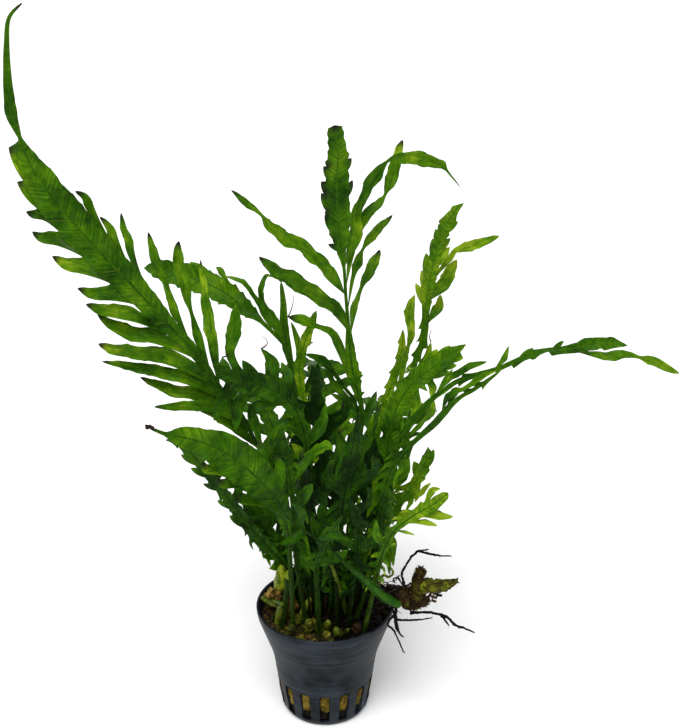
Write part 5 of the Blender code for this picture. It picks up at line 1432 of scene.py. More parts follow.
def grow_leaflet(skin, edge, side, leaf, facing, rib_ahead, tones, seed, teeth):
    """Welds a leaflet to a run of edge points, lets it taper to its tip, and gives its middle line."""
    form = Leaflet(side, leaf, facing, seed, teeth)
    count = len(edge)
    spread = [2 * i / (count - 1) - 1 for i in range(count)]
    total = form.runs[-1]
    starts = [skin.points[i] for i in edge]
    targets = form.row(1.0, spread)
    ahead = form.ring(1.0)[1]
    reach = (targets[count // 2] - starts[count // 2]).length
    span = (starts[-1] - starts[0]).length
    rows = max(3, round(reach / ROW))
    before = edge
    vein = [middle_of(starts)]
    for row in range(1, rows + 1):
        t = row / rows
        h00 = 2 * t**3 - 3 * t**2 + 1
        h10 = t**3 - 2 * t**2 + t
        h01 = -2 * t**3 + 3 * t**2
        h11 = t**3 - t**2
        now = []
        tone = tones[0] + (tones[1] - tones[0]) * smooth(form.runs[1] * t / total)
        for j, v in enumerate(spread):
            chord = targets[j] - starts[j]
            fillet = rib_ahead * (-(1.0 if v > 0 else -1.0) * min(0.7 * chord.length, 2.0, 0.6 * span))
            weight = abs(v) ** 3
            leave = chord * (0.8 * (1 - weight)) + fillet * weight
            point = starts[j] * h00 + leave * h10 + targets[j] * h01 + ahead * (chord.length * 0.9 * h11)
            wide = span + (form.widths[1] - span) * t
            place = (v * wide / 2, reach * t, 1.0)
            now.append(skin.add(point, leaf_half(v), tone, place))
        skin.join_rows(before, now, side)
        vein.append(middle_of([skin.points[i] for i in now]))
        before = now
    rows = max(4, round((total - form.runs[1]) / ROW))
    for row in range(1, rows + 1):
        s = 1 + (form.last - 1) * row / rows
        tone = tones[0] + (tones[1] - tones[0]) * smooth(form.run(s) / total)
        if row == rows:
            now = [skin.add(form.path[-1], LEAF_HALF * 0.5, tone, (0.0, total, 1.0))] * count
            vein.append(form.path[-1])
        else:
            points = form.row(s, spread)
            wide = curve_width(form.widths, s)
            narrow = min(1.0, 0.35 + wide / 1.2)
            now = []
            for point, v in zip(points, spread):
                now.append(skin.add(point, leaf_half(v, narrow), tone, (v * wide / 2, form.run(s), 1.0)))
            vein.append(middle_of(points))
        skin.join_rows(before, now, side)
        before = now
    skin.tips.append(form.path[-1])
    return vein


def widened(row, last):
    """The spans of one side made wider at the base of short teeth and broad lobes, up to their neighbours."""
    wide = []
    for number, (start, end, leaf) in enumerate(row):
        _, path, widths, _ = leaf
        more = 0.9 if len(path) == 2 else 0.35 if widths[0] >= 3.8 else 0.0
        grown = (end - start) / 2 * more
        before = row[number - 1][1] if number else 0.02
        after = row[number + 1][0] if number + 1 < len(row) else last - 0.02
        wide.append((max(start - grown, (before + start) / 2), min(end + grown, (end + after) / 2), leaf))
    return wide


def grow_frond(name, rib, leaves, facing):
    """The whole frond as a skin: midrib, blade, leaflets and teeth welded together."""
    seed = 1 + sum(ord(letter) for letter in name) % 97 / 7
    blade = Blade(name, rib, facing, seed)
    rows = {side: widened(row, blade.last) for side, row in spans(rib, leaves, facing).items()}
    for side, row in rows.items():
        blade.taken[side] = [(blade.run(start), blade.run(end)) for start, end, _ in row]
    places = places_of(rib, rows)
    skin = Skin()
    tone_foot, tone_tip = look(name, "tones", FILLER_TONES_AND_SHADE)
    slimmer = look(name, "slimmer", 1)
    teeth = look(name, "teeth", PLAIN_TEETH)[1]
    grid = []
    for place in places:
        xs, thick = blade.columns(place)
        run = blade.run(place)
        share = run / blade.length
        # darker towards the foot: partly the stalk's own colour and partly painted shade low in the clump
        tone = tone_foot + (tone_tip - tone_foot) * 0.7 * share
        grid.append([
            skin.add(blade.at(place, x), half, tone, (run - VEIN_SLOPE * abs(x), abs(x), share))
            for x, half in zip(xs, thick)
        ])
    if name not in FRONDS or "foot" in FRONDS[name]:
        down = Vector((0, 0, -SUNK))
        sunk = [skin.add(skin.points[i] + down, skin.halves[i], tone_foot, (0.0, 0.0, 0.0)) for i in grid[0]]
        grid.insert(0, sunk)
        places.insert(0, -1.0)
    columns = len(grid[0])
    middle = columns // 2
    for low, high in zip(grid, grid[1:]):
        for j in range(columns - 1):
            kind = 1 if abs(j + 0.5 - middle) < 3 else 0
            skin.quad(low[j], low[j + 1], high[j + 1], high[j], kind)
    rounded = [round(place, 4) for place in places]
    for side, row in rows.items():
        for number, (start, end, leaf) in enumerate(row):
            first = rounded.index(round(start, 4))
            final = rounded.index(round(end, 4))
            if final - first < 2:
                continue
            column = -1 if side > 0 else 0
            edge = [grid[i][column] for i in range(first, final + 1)]
            ahead = (skin.points[edge[-1]] - skin.points[edge[0]]).normalized()
            change = 0.10 * wobble(number * 1.7, seed, side)
            tones = (skin.tones[edge[len(edge) // 2]] + change * 0.3, tone_tip + change)
            if len(leaf[1]) == 2:
                outward = frame_at(rib, (start + end) / 2, facing)[2] * side
                grow_tooth(skin, edge, side, leaf[1][1], outward, tones)
                continue
            if leaf[2][0] > BROAD:
                leaf = (*leaf[:2], [width * slimmer for width in leaf[2]], leaf[3])
            vein = grow_leaflet(skin, edge, side, leaf, facing, ahead, tones, seed + number, teeth)
            centre = (start + end) / 2
            half = blade.half(centre, side)
            back = blade.run(centre) - VEIN_SLOPE * half
            inner = []
            for share in (0.0, 0.25, 0.5, 0.75):
                place = blade.place(max(back + VEIN_SLOPE * half * share, 0.1))
                inner.append(blade.at(place, side * half * share))
            skin.veins.append(inner + vein)
    if look(name, "dark_tips"):
        skin.tips.append(rib[-1][0])
    else:
        skin.tips = [seen(*FAR_OFF)]
    return skin


def thicken(skin):
    """Both faces and the rim of a skin, as (points, faces, kinds, tones)."""
    points = np.array([tuple(point) for point in skin.points])
    normals = np.zeros_like(points)
    for face in skin.faces:
        a, b, c = (points[i] for i in (face[0], face[1], face[2]))
        normal = np.cross(b - a, c - a)
        if len(face) == 4:
            normal = normal + np.cross(c - a, points[face[3]] - a)
        for i in face:
            normals[i] += normal
    size = np.linalg.norm(normals, axis=1)
    normals /= np.maximum(size, 1e-9)[:, None]
    halves = np.array(skin.halves)[:, None]
    count = len(points)
    both = np.vstack([points + normals * halves, points - normals * halves])
    faces = list(skin.faces)
    faces += [tuple(i + count for i in face[::-1]) for face in skin.faces]
    kinds = list(skin.kinds) * 2
    edges = {}
    for face, kind in zip(skin.faces, skin.kinds):
        for k, i in enumerate(face):
            edges[(face[k - 1], i)] = kind
    for (a, b), kind in edges.items():
        if (b, a) not in edges:
            faces.append((b, a, a + count, b + count))
            kinds.append(kind)
    return both, faces, kinds, skin.tones * 2


def strand(path, radii, sides, squash=1.0):
    """(points, faces) of a closed round strand whose frame is carried along it without twist."""
    path = [Vector(point) for point in path]
    ahead = (path[1] - path[0]).normalized()
    across = ahead.orthogonal().normalized()
    points = []
    for i, (centre, radius) in enumerate(zip(path, radii)):
        ahead = (path[min(i + 1, len(path) - 1)] - path[max(i - 1, 0)]).normalized()
        across = (across - ahead * across.dot(ahead)).normalized()
        other = ahead.cross(across)
        for side in range(sides):
            angle = TURN * side / sides
            offset = across * math.cos(angle) + other * (math.sin(angle) * squash)
            points.append(centre + offset * radius)
    return points, rings_and_caps(sides, len(path))


class Pile:
    """Many closed forms gathered into one mesh."""

    def __init__(self):
        self.points = []
        self.faces = []
        self.kinds = []
        self.tones = []

    def join(self, points, faces, kinds, tones):
        start = len(self.points)
        self.points += [tuple(point) for point in points]
        self.faces += [tuple(i + start for i in face) for face in faces]
        self.kinds += kinds
        self.tones += tones

    def put(self, points, faces, kind=0, tone=0.5):
        self.join(points, faces, [kind] * len(faces), [tone] * len(points))

    def make(self, name, slot, materials, *nodes, **values):
        """Makes and dresses the piece, with its tones and any other values at its points."""
        values["tone"] = self.tones
        dress(make_piece(name, self.points, self.faces, materials, self.kinds, values), slot, *nodes)


def make_piece(name, points, faces, materials, kinds=None, values=None, crease=40.0):
    """A piece in metres from points in millimetres, shaded smooth but for its sharp edges."""
    mesh = bpy.data.meshes.new(name)
    mesh.from_pydata([tuple(c * METRES for c in point) for point in points], [], faces)
    mesh.update()
    for key in materials:
        mesh.materials.append(MATERIALS[key])
    if kinds is not None:
        mesh.polygons.foreach_set("material_index", kinds)
    for title, numbers in (values or {}).items():
        layer = mesh.attributes.new(title, "FLOAT", "POINT")
        layer.data.foreach_set("value", np.asarray(numbers, np.float32))
    mesh.shade_smooth()
    mesh.set_sharp_from_angle(angle=math.radians(crease))
    piece = bpy.data.objects.new(name, mesh)
    bpy.context.scene.collection.objects.link(piece)
    return piece


def dress(piece, slot, *nodes):
    """Puts a piece on the body and hides the solids that it stands for; its slot is not used."""
    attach(piece, "root")
    if nodes:
        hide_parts(*nodes)


# Materials

class Look:
    """A material built out of nodes, which takes its colours from noise and from the piece's own values."""

    def __init__(self, name):
        self.material = bpy.data.materials.new(name)
        self.material.use_nodes = True
        self.tree = self.material.node_tree
        self.shader = self.tree.nodes["Principled BSDF"]
        self.where = self.node("ShaderNodeTexCoord").outputs["Object"]

    def give(self, socket, value):
        """Links an input to an output socket, or sets it to a value."""
        if isinstance(value, bpy.types.NodeSocket):
            self.tree.links.new(value, socket)
        elif socket.type == "RGBA":
            socket.default_value = (*value, 1.0)
        else:
            socket.default_value = value

    def node(self, kind, inputs=None, **settings):
        made = self.tree.nodes.new(kind)
        for key, value in settings.items():
            setattr(made, key, value)
        for key, value in (inputs or {}).items():
            self.give(made.inputs[key], value)
        return made

    def maths(self, operation, first, *more, clamp=False):
        """One value after another added or multiplied, and held between 0 and 1 at the end by clamp."""
        for number, value in enumerate(more, 1):
            last = clamp and number == len(more)
            made = self.node("ShaderNodeMath", {0: first, 1: value}, operation=operation, use_clamp=last)
            first = made.outputs[0]
        return first

    def noise(self, scale, detail=3.0, roughness=0.55, where=None):
        inputs = {"Vector": where or self.where, "Scale": scale, "Detail": detail, "Roughness": roughness}
        return self.node("ShaderNodeTexNoise", inputs).outputs["Fac"]

    def value(self, name):
        """A value that the piece has at its points."""
        return self.node("ShaderNodeAttribute", attribute_name=name).outputs["Fac"]

    def between(self, value, low, high, to_low=0.0, to_high=1.0):
        """A value carried from one range to another and held at its ends."""
        inputs = {"Value": value, "From Min": low, "From Max": high, "To Min": to_low, "To Max": to_high}
        return self.node("ShaderNodeMapRange", inputs).outputs["Result"]

    def mixed(self, share, a, b):
        return self.node("ShaderNodeMix", {0: share, 6: a, 7: b}, data_type="RGBA").outputs[2]

    def ramp(self, factor, stops):
        """A colour ramp of (position, linear red, green, blue)."""
        made = self.node("ShaderNodeValToRGB", {"Fac": factor})
        elements = made.color_ramp.elements
        for element, (position, *colour) in ((elements[0], stops[0]), (elements[1], stops[-1])):
            element.position = position
            element.color = (*colour, 1.0)
        for position, *colour in stops[1:-1]:
            elements.new(position).color = (*colour, 1.0)
        return made.outputs["Color"]

    def finish(self, colour, roughness, shine, relief=None, strength=0.0, distance=0.0):
        """Sets the shader's colour, roughness and shine, and bumps as high as distance from a relief."""
        self.give(self.shader.inputs["Base Color"], colour)
        self.give(self.shader.inputs["Roughness"], roughness)
        self.give(self.shader.inputs["Specular IOR Level"], shine)
        if relief:
            bump = self.node("ShaderNodeBump", {"Height": relief, "Strength": strength, "Distance": distance})
            self.give(self.shader.inputs["Normal"], bump.outputs["Normal"])
        return self.material


LEAF_COLOURS = (
    (0.0, 0.0025, 0.0150, 0.0008), (0.2, 0.0090, 0.0400, 0.0010), (0.45, 0.0250, 0.0930, 0.0010),
    (0.7, 0.0620, 0.1680, 0.0018), (0.88, 0.1250, 0.2450, 0.0040), (1.0, 0.2300, 0.3500, 0.0110),
)
VEIN_COLOUR = (0.13, 0.20, 0.006)
TIP_COLOUR = (0.012, 0.006, 0.009)
GLOW_COLOUR = (0.16, 0.30, 0.002)


def leaf_material(name, lighter=0.0):
    """A leaf: light from foot to tip, streaks and fine veins that run out to its edge, and dark tips."""
    made = Look(name)
    across = made.value("across")
    broad = made.noise(75.0)
    fine = made.noise(420.0)
    inputs = {
        "X": across,
        "Y": made.maths("MULTIPLY", made.value("along"), 0.12),
        "Z": made.maths("MULTIPLY", broad, 6.0),
    }
    place = made.node("ShaderNodeCombineXYZ", inputs).outputs["Vector"]
    streaks = made.noise(1.1, 4.0, 0.5, place)
    # the piece's tone, darker at feet and in inner fronds, is partly painted shade of the clump
    tone = made.maths(
        "ADD",
        made.value("tone"),
        made.between(broad, 0.3, 0.7, lighter - 0.25, lighter + 0.29),
        made.between(streaks, 0.32, 0.68, -0.14, 0.15),
        made.between(fine, 0.3, 0.7, -0.08, 0.09),
        clamp=True,
    )
    colour = made.ramp(tone, LEAF_COLOURS)
    shifted = made.maths("ADD", across, made.maths("MULTIPLY", broad, 0.9))
    line = made.between(made.maths("PINGPONG", shifted, 0.8), 0.0, 0.13, 1.0, 0.0)
    colour = made.mixed(made.maths("MULTIPLY", line, 0.11), colour, VEIN_COLOUR)
    tip = made.between(made.value("tip"), 1.3, 3.6, 1.0, 0.0)
    spotted = made.maths("MULTIPLY", tip, made.between(fine, 0.25, 0.6, 0.5, 1.0))
    colour = made.mixed(spotted, colour, TIP_COLOUR)
    relief = made.maths("ADD", made.maths("MULTIPLY", line, 0.3), made.maths("ADD", streaks, fine))
    made.finish(colour, made.between(fine, 0.3, 0.7, 0.24, 0.40), 0.055, relief, 0.8, 0.0005)
    glow = made.node("ShaderNodeBsdfTranslucent", {"Color": made.mixed(0.4, colour, GLOW_COLOUR)})
    inputs = {"Fac": 0.14, 1: made.shader.outputs[0], 2: glow.outputs[0]}
    blend = made.node("ShaderNodeMixShader", inputs)
    made.give(made.tree.nodes["Material Output"].inputs["Surface"], blend.outputs[0])
    return made.material


def rib_material(name, dark, light, share=1.0):
    """A midrib, stalk or vein: its own colour below, fading into the leaf's, and purple-black at a tip."""
    made = Look(name)
    streaks = made.noise(260.0, 4.0, 0.7)
    tone = made.maths("ADD", made.value("tone"), made.between(streaks, 0.3, 0.7, -0.2, 0.2), clamp=True)
    colour = made.ramp(tone, ((0.0, *dark), (1.0, *light)))
    leafy = made.ramp(made.maths("SUBTRACT", tone, 0.12, clamp=True), LEAF_COLOURS)
    fade = made.between(made.value("share"), 0.2, 0.5, 0.0, share)
    tip = made.between(made.value("tip"), 0.7, 3.0, 1.0, 0.0)
    colour = made.mixed(tip, made.mixed(fade, colour, leafy), TIP_COLOUR)
    return made.finish(colour, 0.4, 0.05, streaks, 0.4, 0.0003)


def speckled(name, scale, roughness, shine, strength, distance, *stops):
    """A natural surface whose colour and relief come from one noise, shifted by the piece's own tone."""
    made = Look(name)
    grain = made.noise(scale, 6.0, 0.62)
    fine = made.noise(scale * 4.5, 3.0, 0.6)
    own = made.maths("SUBTRACT", made.value("tone"), 0.5)
    grains = (made.between(grain, 0.25, 0.75), made.between(fine, 0.3, 0.7, -0.2, 0.2))
    tone = made.maths("ADD", *grains, own, clamp=True)
    return made.finish(made.ramp(tone, stops), roughness, shine, grain, strength, distance)


POT_COLOURS = ((0.0, 0.001, 0.002, 0.004), (1.0, 0.021, 0.0285, 0.0365))


def pot_material():
    """Dark grey moulded plastic with faint streaks round it and a soft shine. Its lighter mottled patches
    are partly painted sheen of wet plastic.
    """
    made = Look("pot_plastic_grey")
    inputs = {"Vector": made.where, "Scale": (30.0, 30.0, 900.0)}
    stretched = made.node("ShaderNodeMapping", inputs).outputs["Vector"]
    streaks = made.noise(1.0, 4.0, 0.5, stretched)
    mottle_and_sheen = made.noise(90.0, 4.0)
    # lighter patches of the mottle are partly painted sheen of wet plastic, partly its own uneven grey
    tone = made.maths("ADD", made.maths("MULTIPLY", streaks, 0.35), made.maths("MULTIPLY", mottle_and_sheen, 0.65))
    colour = made.ramp(made.between(tone, 0.40, 0.62), POT_COLOURS)
    grit = made.noise(2600.0, 2.0)
    relief = made.maths("ADD", made.maths("MULTIPLY", streaks, 0.8), made.maths("MULTIPLY", grit, 0.3))
    return made.finish(colour, made.between(mottle_and_sheen, 0.3, 0.7, 0.38, 0.56), 0.1, relief, 0.25, 0.00015)


def wool_material():
    """Mineral wool: yellow-brown above, nearly black low in the pot, which is partly wetness and partly
    painted shade, and dark on the bed.
    """
    made = Look("mineral_wool_brown")
    height = made.node("ShaderNodeSeparateXYZ", {"Vector": made.where}).outputs["Z"]
    grain = made.noise(330.0, 7.0, 0.7)
    clumps = made.noise(95.0)
    uneven = made.maths("ADD", height, made.between(clumps, 0.3, 0.7, -0.001, 0.001))
    tone = made.maths(
        "MULTIPLY",
        made.between(grain, 0.32, 0.72),
        # nearly black below about 7 mm: wet wool, and partly painted shade low in the pot
        made.between(uneven, 0.0068, 0.0082),
        made.between(clumps, 0.3, 0.6, 0.55, 1.0),
        made.between(height, 0.03, 0.04, 1.0, 0.42),
        clamp=True,
    )
    stops = (
        (0.0, 0.004, 0.003, 0.001), (0.25, 0.040, 0.024, 0.003), (0.5, 0.130, 0.086, 0.007),
        (0.75, 0.230, 0.160, 0.012), (1.0, 0.360, 0.270, 0.030),
    )
    return made.finish(made.ramp(tone, stops), 0.9, 0.1, grain, 0.9, 0.0008)


# Natural surfaces: name, scale of the noise, roughness, shine, strength and height of the bumps, and colours
SPECKLED = {
    "fibre": (
        "wool_fibre", 160.0, 0.8, 0.12, 0.5, 0.0001,
        (0.0, 0.040, 0.024, 0.003), (0.6, 0.170, 0.115, 0.013), (1.0, 0.340, 0.260, 0.050),
    ),
    "dirt": (
        "dirt_brown", 240.0, 0.8, 0.12, 0.5, 0.0003,
        (0.0, 0.002, 0.0015, 0.001), (0.6, 0.014, 0.008, 0.003), (1.0, 0.085, 0.050, 0.016),
    ),
    "moss": (
        "moss_yellow_green", 300.0, 0.7, 0.12, 0.5, 0.0004,
        (0.0, 0.008, 0.011, 0.001), (0.5, 0.042, 0.047, 0.003), (1.0, 0.190, 0.175, 0.014),
    ),
    "root": (
        "root_black", 500.0, 0.35, 0.06, 0.5, 0.0002,
        (0.0, 0.0014, 0.0010, 0.0009), (0.7, 0.004, 0.003, 0.002), (1.0, 0.018, 0.010, 0.005),
    ),
    "rhizome": (
        "rhizome_olive", 260.0, 0.55, 0.06, 0.7, 0.0005,
        (0.0, 0.003, 0.0016, 0.0005), (0.35, 0.020, 0.010, 0.002), (0.6, 0.042, 0.042, 0.003),
        (1.0, 0.150, 0.185, 0.008),
    ),
    "scale": (
        "rhizome_scale_brown", 400.0, 0.6, 0.12, 0.5, 0.0002,
        (0.0, 0.003, 0.002, 0.001), (0.6, 0.024, 0.011, 0.004), (1.0, 0.110, 0.050, 0.016),
    ),
    "fresh": (
        "leaf_base_yellow_green", 120.0, 0.5, 0.12, 0.5, 0.0002,
        (0.0, 0.030, 0.065, 0.002), (0.5, 0.150, 0.220, 0.006), (1.0, 0.360, 0.400, 0.016),
    ),
    "rust": (
        "dead_leaf_rust_brown", 260.0, 0.7, 0.12, 0.8, 0.0005,
        (0.0, 0.010, 0.004, 0.001), (0.5, 0.085, 0.038, 0.006), (1.0, 0.300, 0.190, 0.040),
    ),
    "stalk": (
        "old_stalk_green", 190.0, 0.5, 0.12, 0.5, 0.0002,
        (0.0, 0.014, 0.022, 0.002), (0.5, 0.055, 0.085, 0.005), (1.0, 0.180, 0.200, 0.022),
    ),
}
MATERIALS = {
    "leaf": leaf_material("leaf_green"),
    "young": leaf_material("young_leaf_green", 0.08),
    "rib": rib_material("midrib_brown_green", (0.004, 0.008, 0.001), (0.036, 0.080, 0.003)),
    "young_rib": rib_material("young_midrib_green", (0.008, 0.018, 0.001), (0.100, 0.160, 0.006)),
    "vein": rib_material("vein_green", (0.003, 0.020, 0.001), (0.110, 0.200, 0.007), 0.0),
    "young_vein": rib_material("young_vein_green", (0.110, 0.170, 0.005), (0.230, 0.300, 0.016), 0.0),
    # the strap's midrib is its own green, lighter than the others, partly as a painted highlight along its
    # middle
    "strap": rib_material("strap_green_and_highlight", (0.010, 0.050, 0.002), (0.075, 0.230, 0.010)),
    "pot": pot_material(),
    "wool": wool_material(),
}
MATERIALS |= {key: speckled(*surface) for key, surface in SPECKLED.items()}


# Fronds and roots

LEAF = ("leaf", "rib", "vein")
YOUNG_LEAF = ("young", "young_rib", "young_vein")
STRAP_LEAF = ("leaf", "strap", "vein")

# Radii of a hair or bristle from its root to its end
HAIR = (0.06, 0.045, 0.02)


def tree_of(points):
    """A tree for finding the nearest of some points."""
    tree = kdtree.KDTree(len(points))
    for i, point in enumerate(points):
        tree.insert(point, i)
    tree.balance()
    return tree


def make_leaf(title, slot, skins, materials, *nodes):
    """One piece from thickened skins, with the veins of their leaflets on it."""
    pile = Pile()
    tips = []
    places = []
    for skin in skins:
        points, faces, kinds, tones = thicken(skin)
        near_tip = tree_of(skin.tips)
        tips += [near_tip.find(point)[2] for point in skin.points] * 2
        places += skin.places * 2
        pile.join(points, faces, kinds, tones)
        for vein in skin.veins:
            count = len(vein)
            radii = [VEIN_HALF + (VEIN_TIP - VEIN_HALF) * i / (count - 1) for i in range(count)]
            points, faces = strand(vein, radii, 4)
            pile.put(points, faces, 2, sum(skin.tones) / len(skin.tones))
            places += [(0.0, 0.0, 1.0)] * len(points)
            tips += [near_tip.find(point)[2] for point in points]
    across, away, shares = zip(*places)
    pile.make(title, slot, materials, *nodes, tip=tips, across=across, along=away, share=shares)


def make_fronds(settled):
    for name, (rib, leaves, facing) in settled.items():
        if name in ROOTS:
            continue
        young = look(name, "young")
        materials = YOUNG_LEAF if young else STRAP_LEAF if name == "frond_strap" else LEAF
        skins = [grow_frond(name, rib, leaves, facing)]
        make_leaf(name + "_leaf", "young_leaf" if young else "leaf", skins, materials, name)
    dead = Pile()
    end = settled["frond_drooping_left"][0][-1][0]
    for step in range(5):
        spot = end + Vector((0.45 * step - 0.3, 0, 0.3 * wobble(step, 3.0)))
        crumb(dead, spot, 0.8 - 0.06 * step, random.Random(step), 0, 8, 10)
    dead.make("dead_leaf_tip", "leaf", ["scale"])


def make_fillers(trees):
    """The small fronds in the middle, in one piece that stands among the others."""
    plans, _ = fitted(*bare_and_leaves(filler_plans(trees)), trees, LOBE_GAP, LOBE_SWINGS, True)
    make_leaf("inner_leaves", "leaf", [grow_frond(name, *plan) for name, plan in plans.items()], LEAF)


def fine_path(line, step):
    """Points and half widths close together along a drawn line."""
    last = len(line) - 1
    length = sum((b[0] - a[0]).length for a, b in zip(line, line[1:]))
    count = max(4, round(length / step))
    return [along(line, last * i / count) for i in range(count + 1)]


def root_strand(line, young):
    """(path, radii) of an uneven root through the points of a line."""
    fine = fine_path(line, 0.5)
    radii = []
    for i, (_, half) in enumerate(fine):
        radii.append(max(half, 0.14) * (1 + 0.30 * wobble(i * 0.45, half * 9) + 0.15 * wobble(i * 1.3, half)))
    if not young:
        radii[-1] = 0.06
    path = []
    for i, (point, _) in enumerate(fine):
        path.append(point + Vector([wobble(i * 0.6, seed) for seed in (1.0, 5.0, 9.0)]) * 0.25)
    return path, radii


def make_roots(settled):
    """Roots outside the pot with their hairs, and the young frond that is still curled."""
    chance = random.Random(SEED)
    for name, root in ROOTS.items():
        rib, leaves, _ = settled[name]
        young = root.get("young")
        lines = [list(rib)]
        if not young:
            lines[0].insert(0, (rib[0][0] + (rib[0][0] - rib[1][0]).normalized() * SUNK, rib[0][1] * 1.5))
        for _, path, widths, _ in leaves:
            lines.append(list(zip(path, [max(width / 2, 0.16) for width in widths])))
        pile = Pile()
        for line in lines:
            path, radii = root_strand(line, young)
            pile.put(*strand(path, radii, 8), tone=0.75 if young else 0.5)
            for point in [] if young else path[1:-1]:
                if chance.random() < 0.45:
                    away = any_way(chance)
                    length = chance.uniform(0.4, 1.3)
                    hair = []
                    for t in (0.0, 0.5, 1.0):
                        hair.append(point + away * (length * t) + Vector((0, 0, -0.25 * length * t * t)))
                    pile.put(*strand(hair, HAIR, 3))
        slot, material = ("young_leaf", "young_vein") if young else ("root", "root")
        pile.make(name + "_root", slot, [material], name, tip=[9.0] * len(pile.points))


# Stems, rhizome and bud

# Which way a rhizome piece grows out of its neighbour, as a point inside it, how green its skin is, and where
# in the picture the skin is greenest and darkest
JOINS = {
    "rhizome": (374, 600, -8, 1.6), "rhizome_tip": (421, 592, -9, 2.0), "rhizome_bud": (415, 592, -11, 2.4),
}
SKIN_TONES = {"rhizome": 0.34, "rhizome_tip": 0.62, "rhizome_bud": 0.26, "old_rhizome": 0.55}
GREEN_SPOT = (419, 588, -13)
DARK_SPOT = (389, 594, -12)

# How many scales and how many bristles each piece has, and how many dead curls hang under the growing tip
SCALES = {"rhizome": 170, "rhizome_tip": 36, "rhizome_bud": 90, "old_rhizome": 30}
CURLS = 9


def knobbly(path, radii, sides, rough, seed):
    """A closed stem with an uneven surface."""
    points, faces = strand(path, radii, sides)
    out = []
    for i, point in enumerate(points):
        centre = Vector(path[i // sides])
        lump = 1 + rough * wobble(point.x / 1.3 + seed, point.y / 1.3, point.z / 1.3)
        lump += 0.5 * rough * wobble(point.x / 0.5, point.y / 0.5 + seed, point.z / 0.5)
        out.append(centre + (point - centre) * lump)
    return out, faces


def scale_at(pile, base, ahead, out, size, kind, tone):
    """One dry scale that lies along a stem and stands off it at its tip."""
    side = ahead.cross(out)
    rows = []
    for share, width, rise in ((0.0, 0.30, 0.0), (0.45, 0.36, 0.10), (0.8, 0.2, 0.28), (1.0, 0.03, 0.42)):
        middle = base + ahead * (size * share) + out * (size * rise)
        for across, up in ((-1, 0.05), (1, 0.05), (1, -0.05), (-1, -0.05)):
            rows.append(middle + side * (across * size * width) + out * up)
    pile.put(rows, rings_and_caps(4, 4), kind, tone)


def scales_on(pile, path, radii, count, chance):
    """Scales and bristles all round a rhizome."""
    for number in range(2 * count):
        at = chance.uniform(0.3, len(path) - 1.3)
        i = int(at)
        centre = path[i].lerp(path[i + 1], at - i)
        radius = radii[i] + (radii[i + 1] - radii[i]) * (at - i)
        ahead = (path[i + 1] - path[i]).normalized()
        out = Matrix.Rotation(any_turn(chance), 3, ahead) @ ahead.orthogonal().normalized()
        if number < count:
            size = chance.uniform(0.6, 1.3)
            scale_at(pile, centre + out * (radius * 0.93), ahead, out, size, 1, chance.uniform(0.2, 0.9))
            continue
        reach = chance.uniform(0.3, 1.1)
        hair = [centre + out * (radius * 0.85), centre + out * (radius + 0.5 * reach)]
        hair.append(centre + out * (radius + reach) + ahead * 0.3)
        pile.put(*strand(hair, HAIR, 3), kind=1)


def make_stems():
    chance = random.Random(SEED + 1)
    green = seen(*GREEN_SPOT)
    dark = seen(*DARK_SPOT)
    for name, stem in STEMS.items():
        if name in JOINS:
            stem = (JOINS[name], *stem)
        fine = fine_path([(seen(across, down, depth), radius) for across, down, depth, radius in stem], 0.4)
        path = [point for point, _ in fine]
        last = len(path) - 1
        radii = []
        for i, (_, radius) in enumerate(fine):
            radii.append(radius * math.sqrt(min(1.0, (i + 0.4) / 3) * min(1.0, (last - i + 0.4) / 3)))
        pile = Pile()
        if "rhizome" not in name:
            pile.put(*knobbly(path, radii, 12, 0.06, len(name)))
            pile.make(name + "_stem", "old_stalk", ["stalk", "scale"], name)
            continue
        points, faces = knobbly(path, radii, 28, 0.30, len(name))
        tones = []
        for point in points:
            greener = 0.5 * (1 - smooth((point - green).length / 5))
            darker = 0.35 * (1 - smooth((point - dark).length / 8))
            tones.append(SKIN_TONES[name] + greener - darker)
        pile.join(points, faces, [0] * len(faces), tones)
        scales_on(pile, path, radii, SCALES[name], chance)
        pile.make(name + "_stem", "rhizome", ["rhizome", "scale"], name)
    make_curls(chance)


def on_bed(across, down):
    """The point of the bed that the viewer sees at a place of the picture."""
    near, far = -40.0, 40.0
    for _ in range(24):
        depth = (near + far) / 2
        point = seen(across, down, depth)
        if point.z > bed_relief(point.x, point.y):
            near = depth
        else:
            far = depth
    return seen(across, down, near)


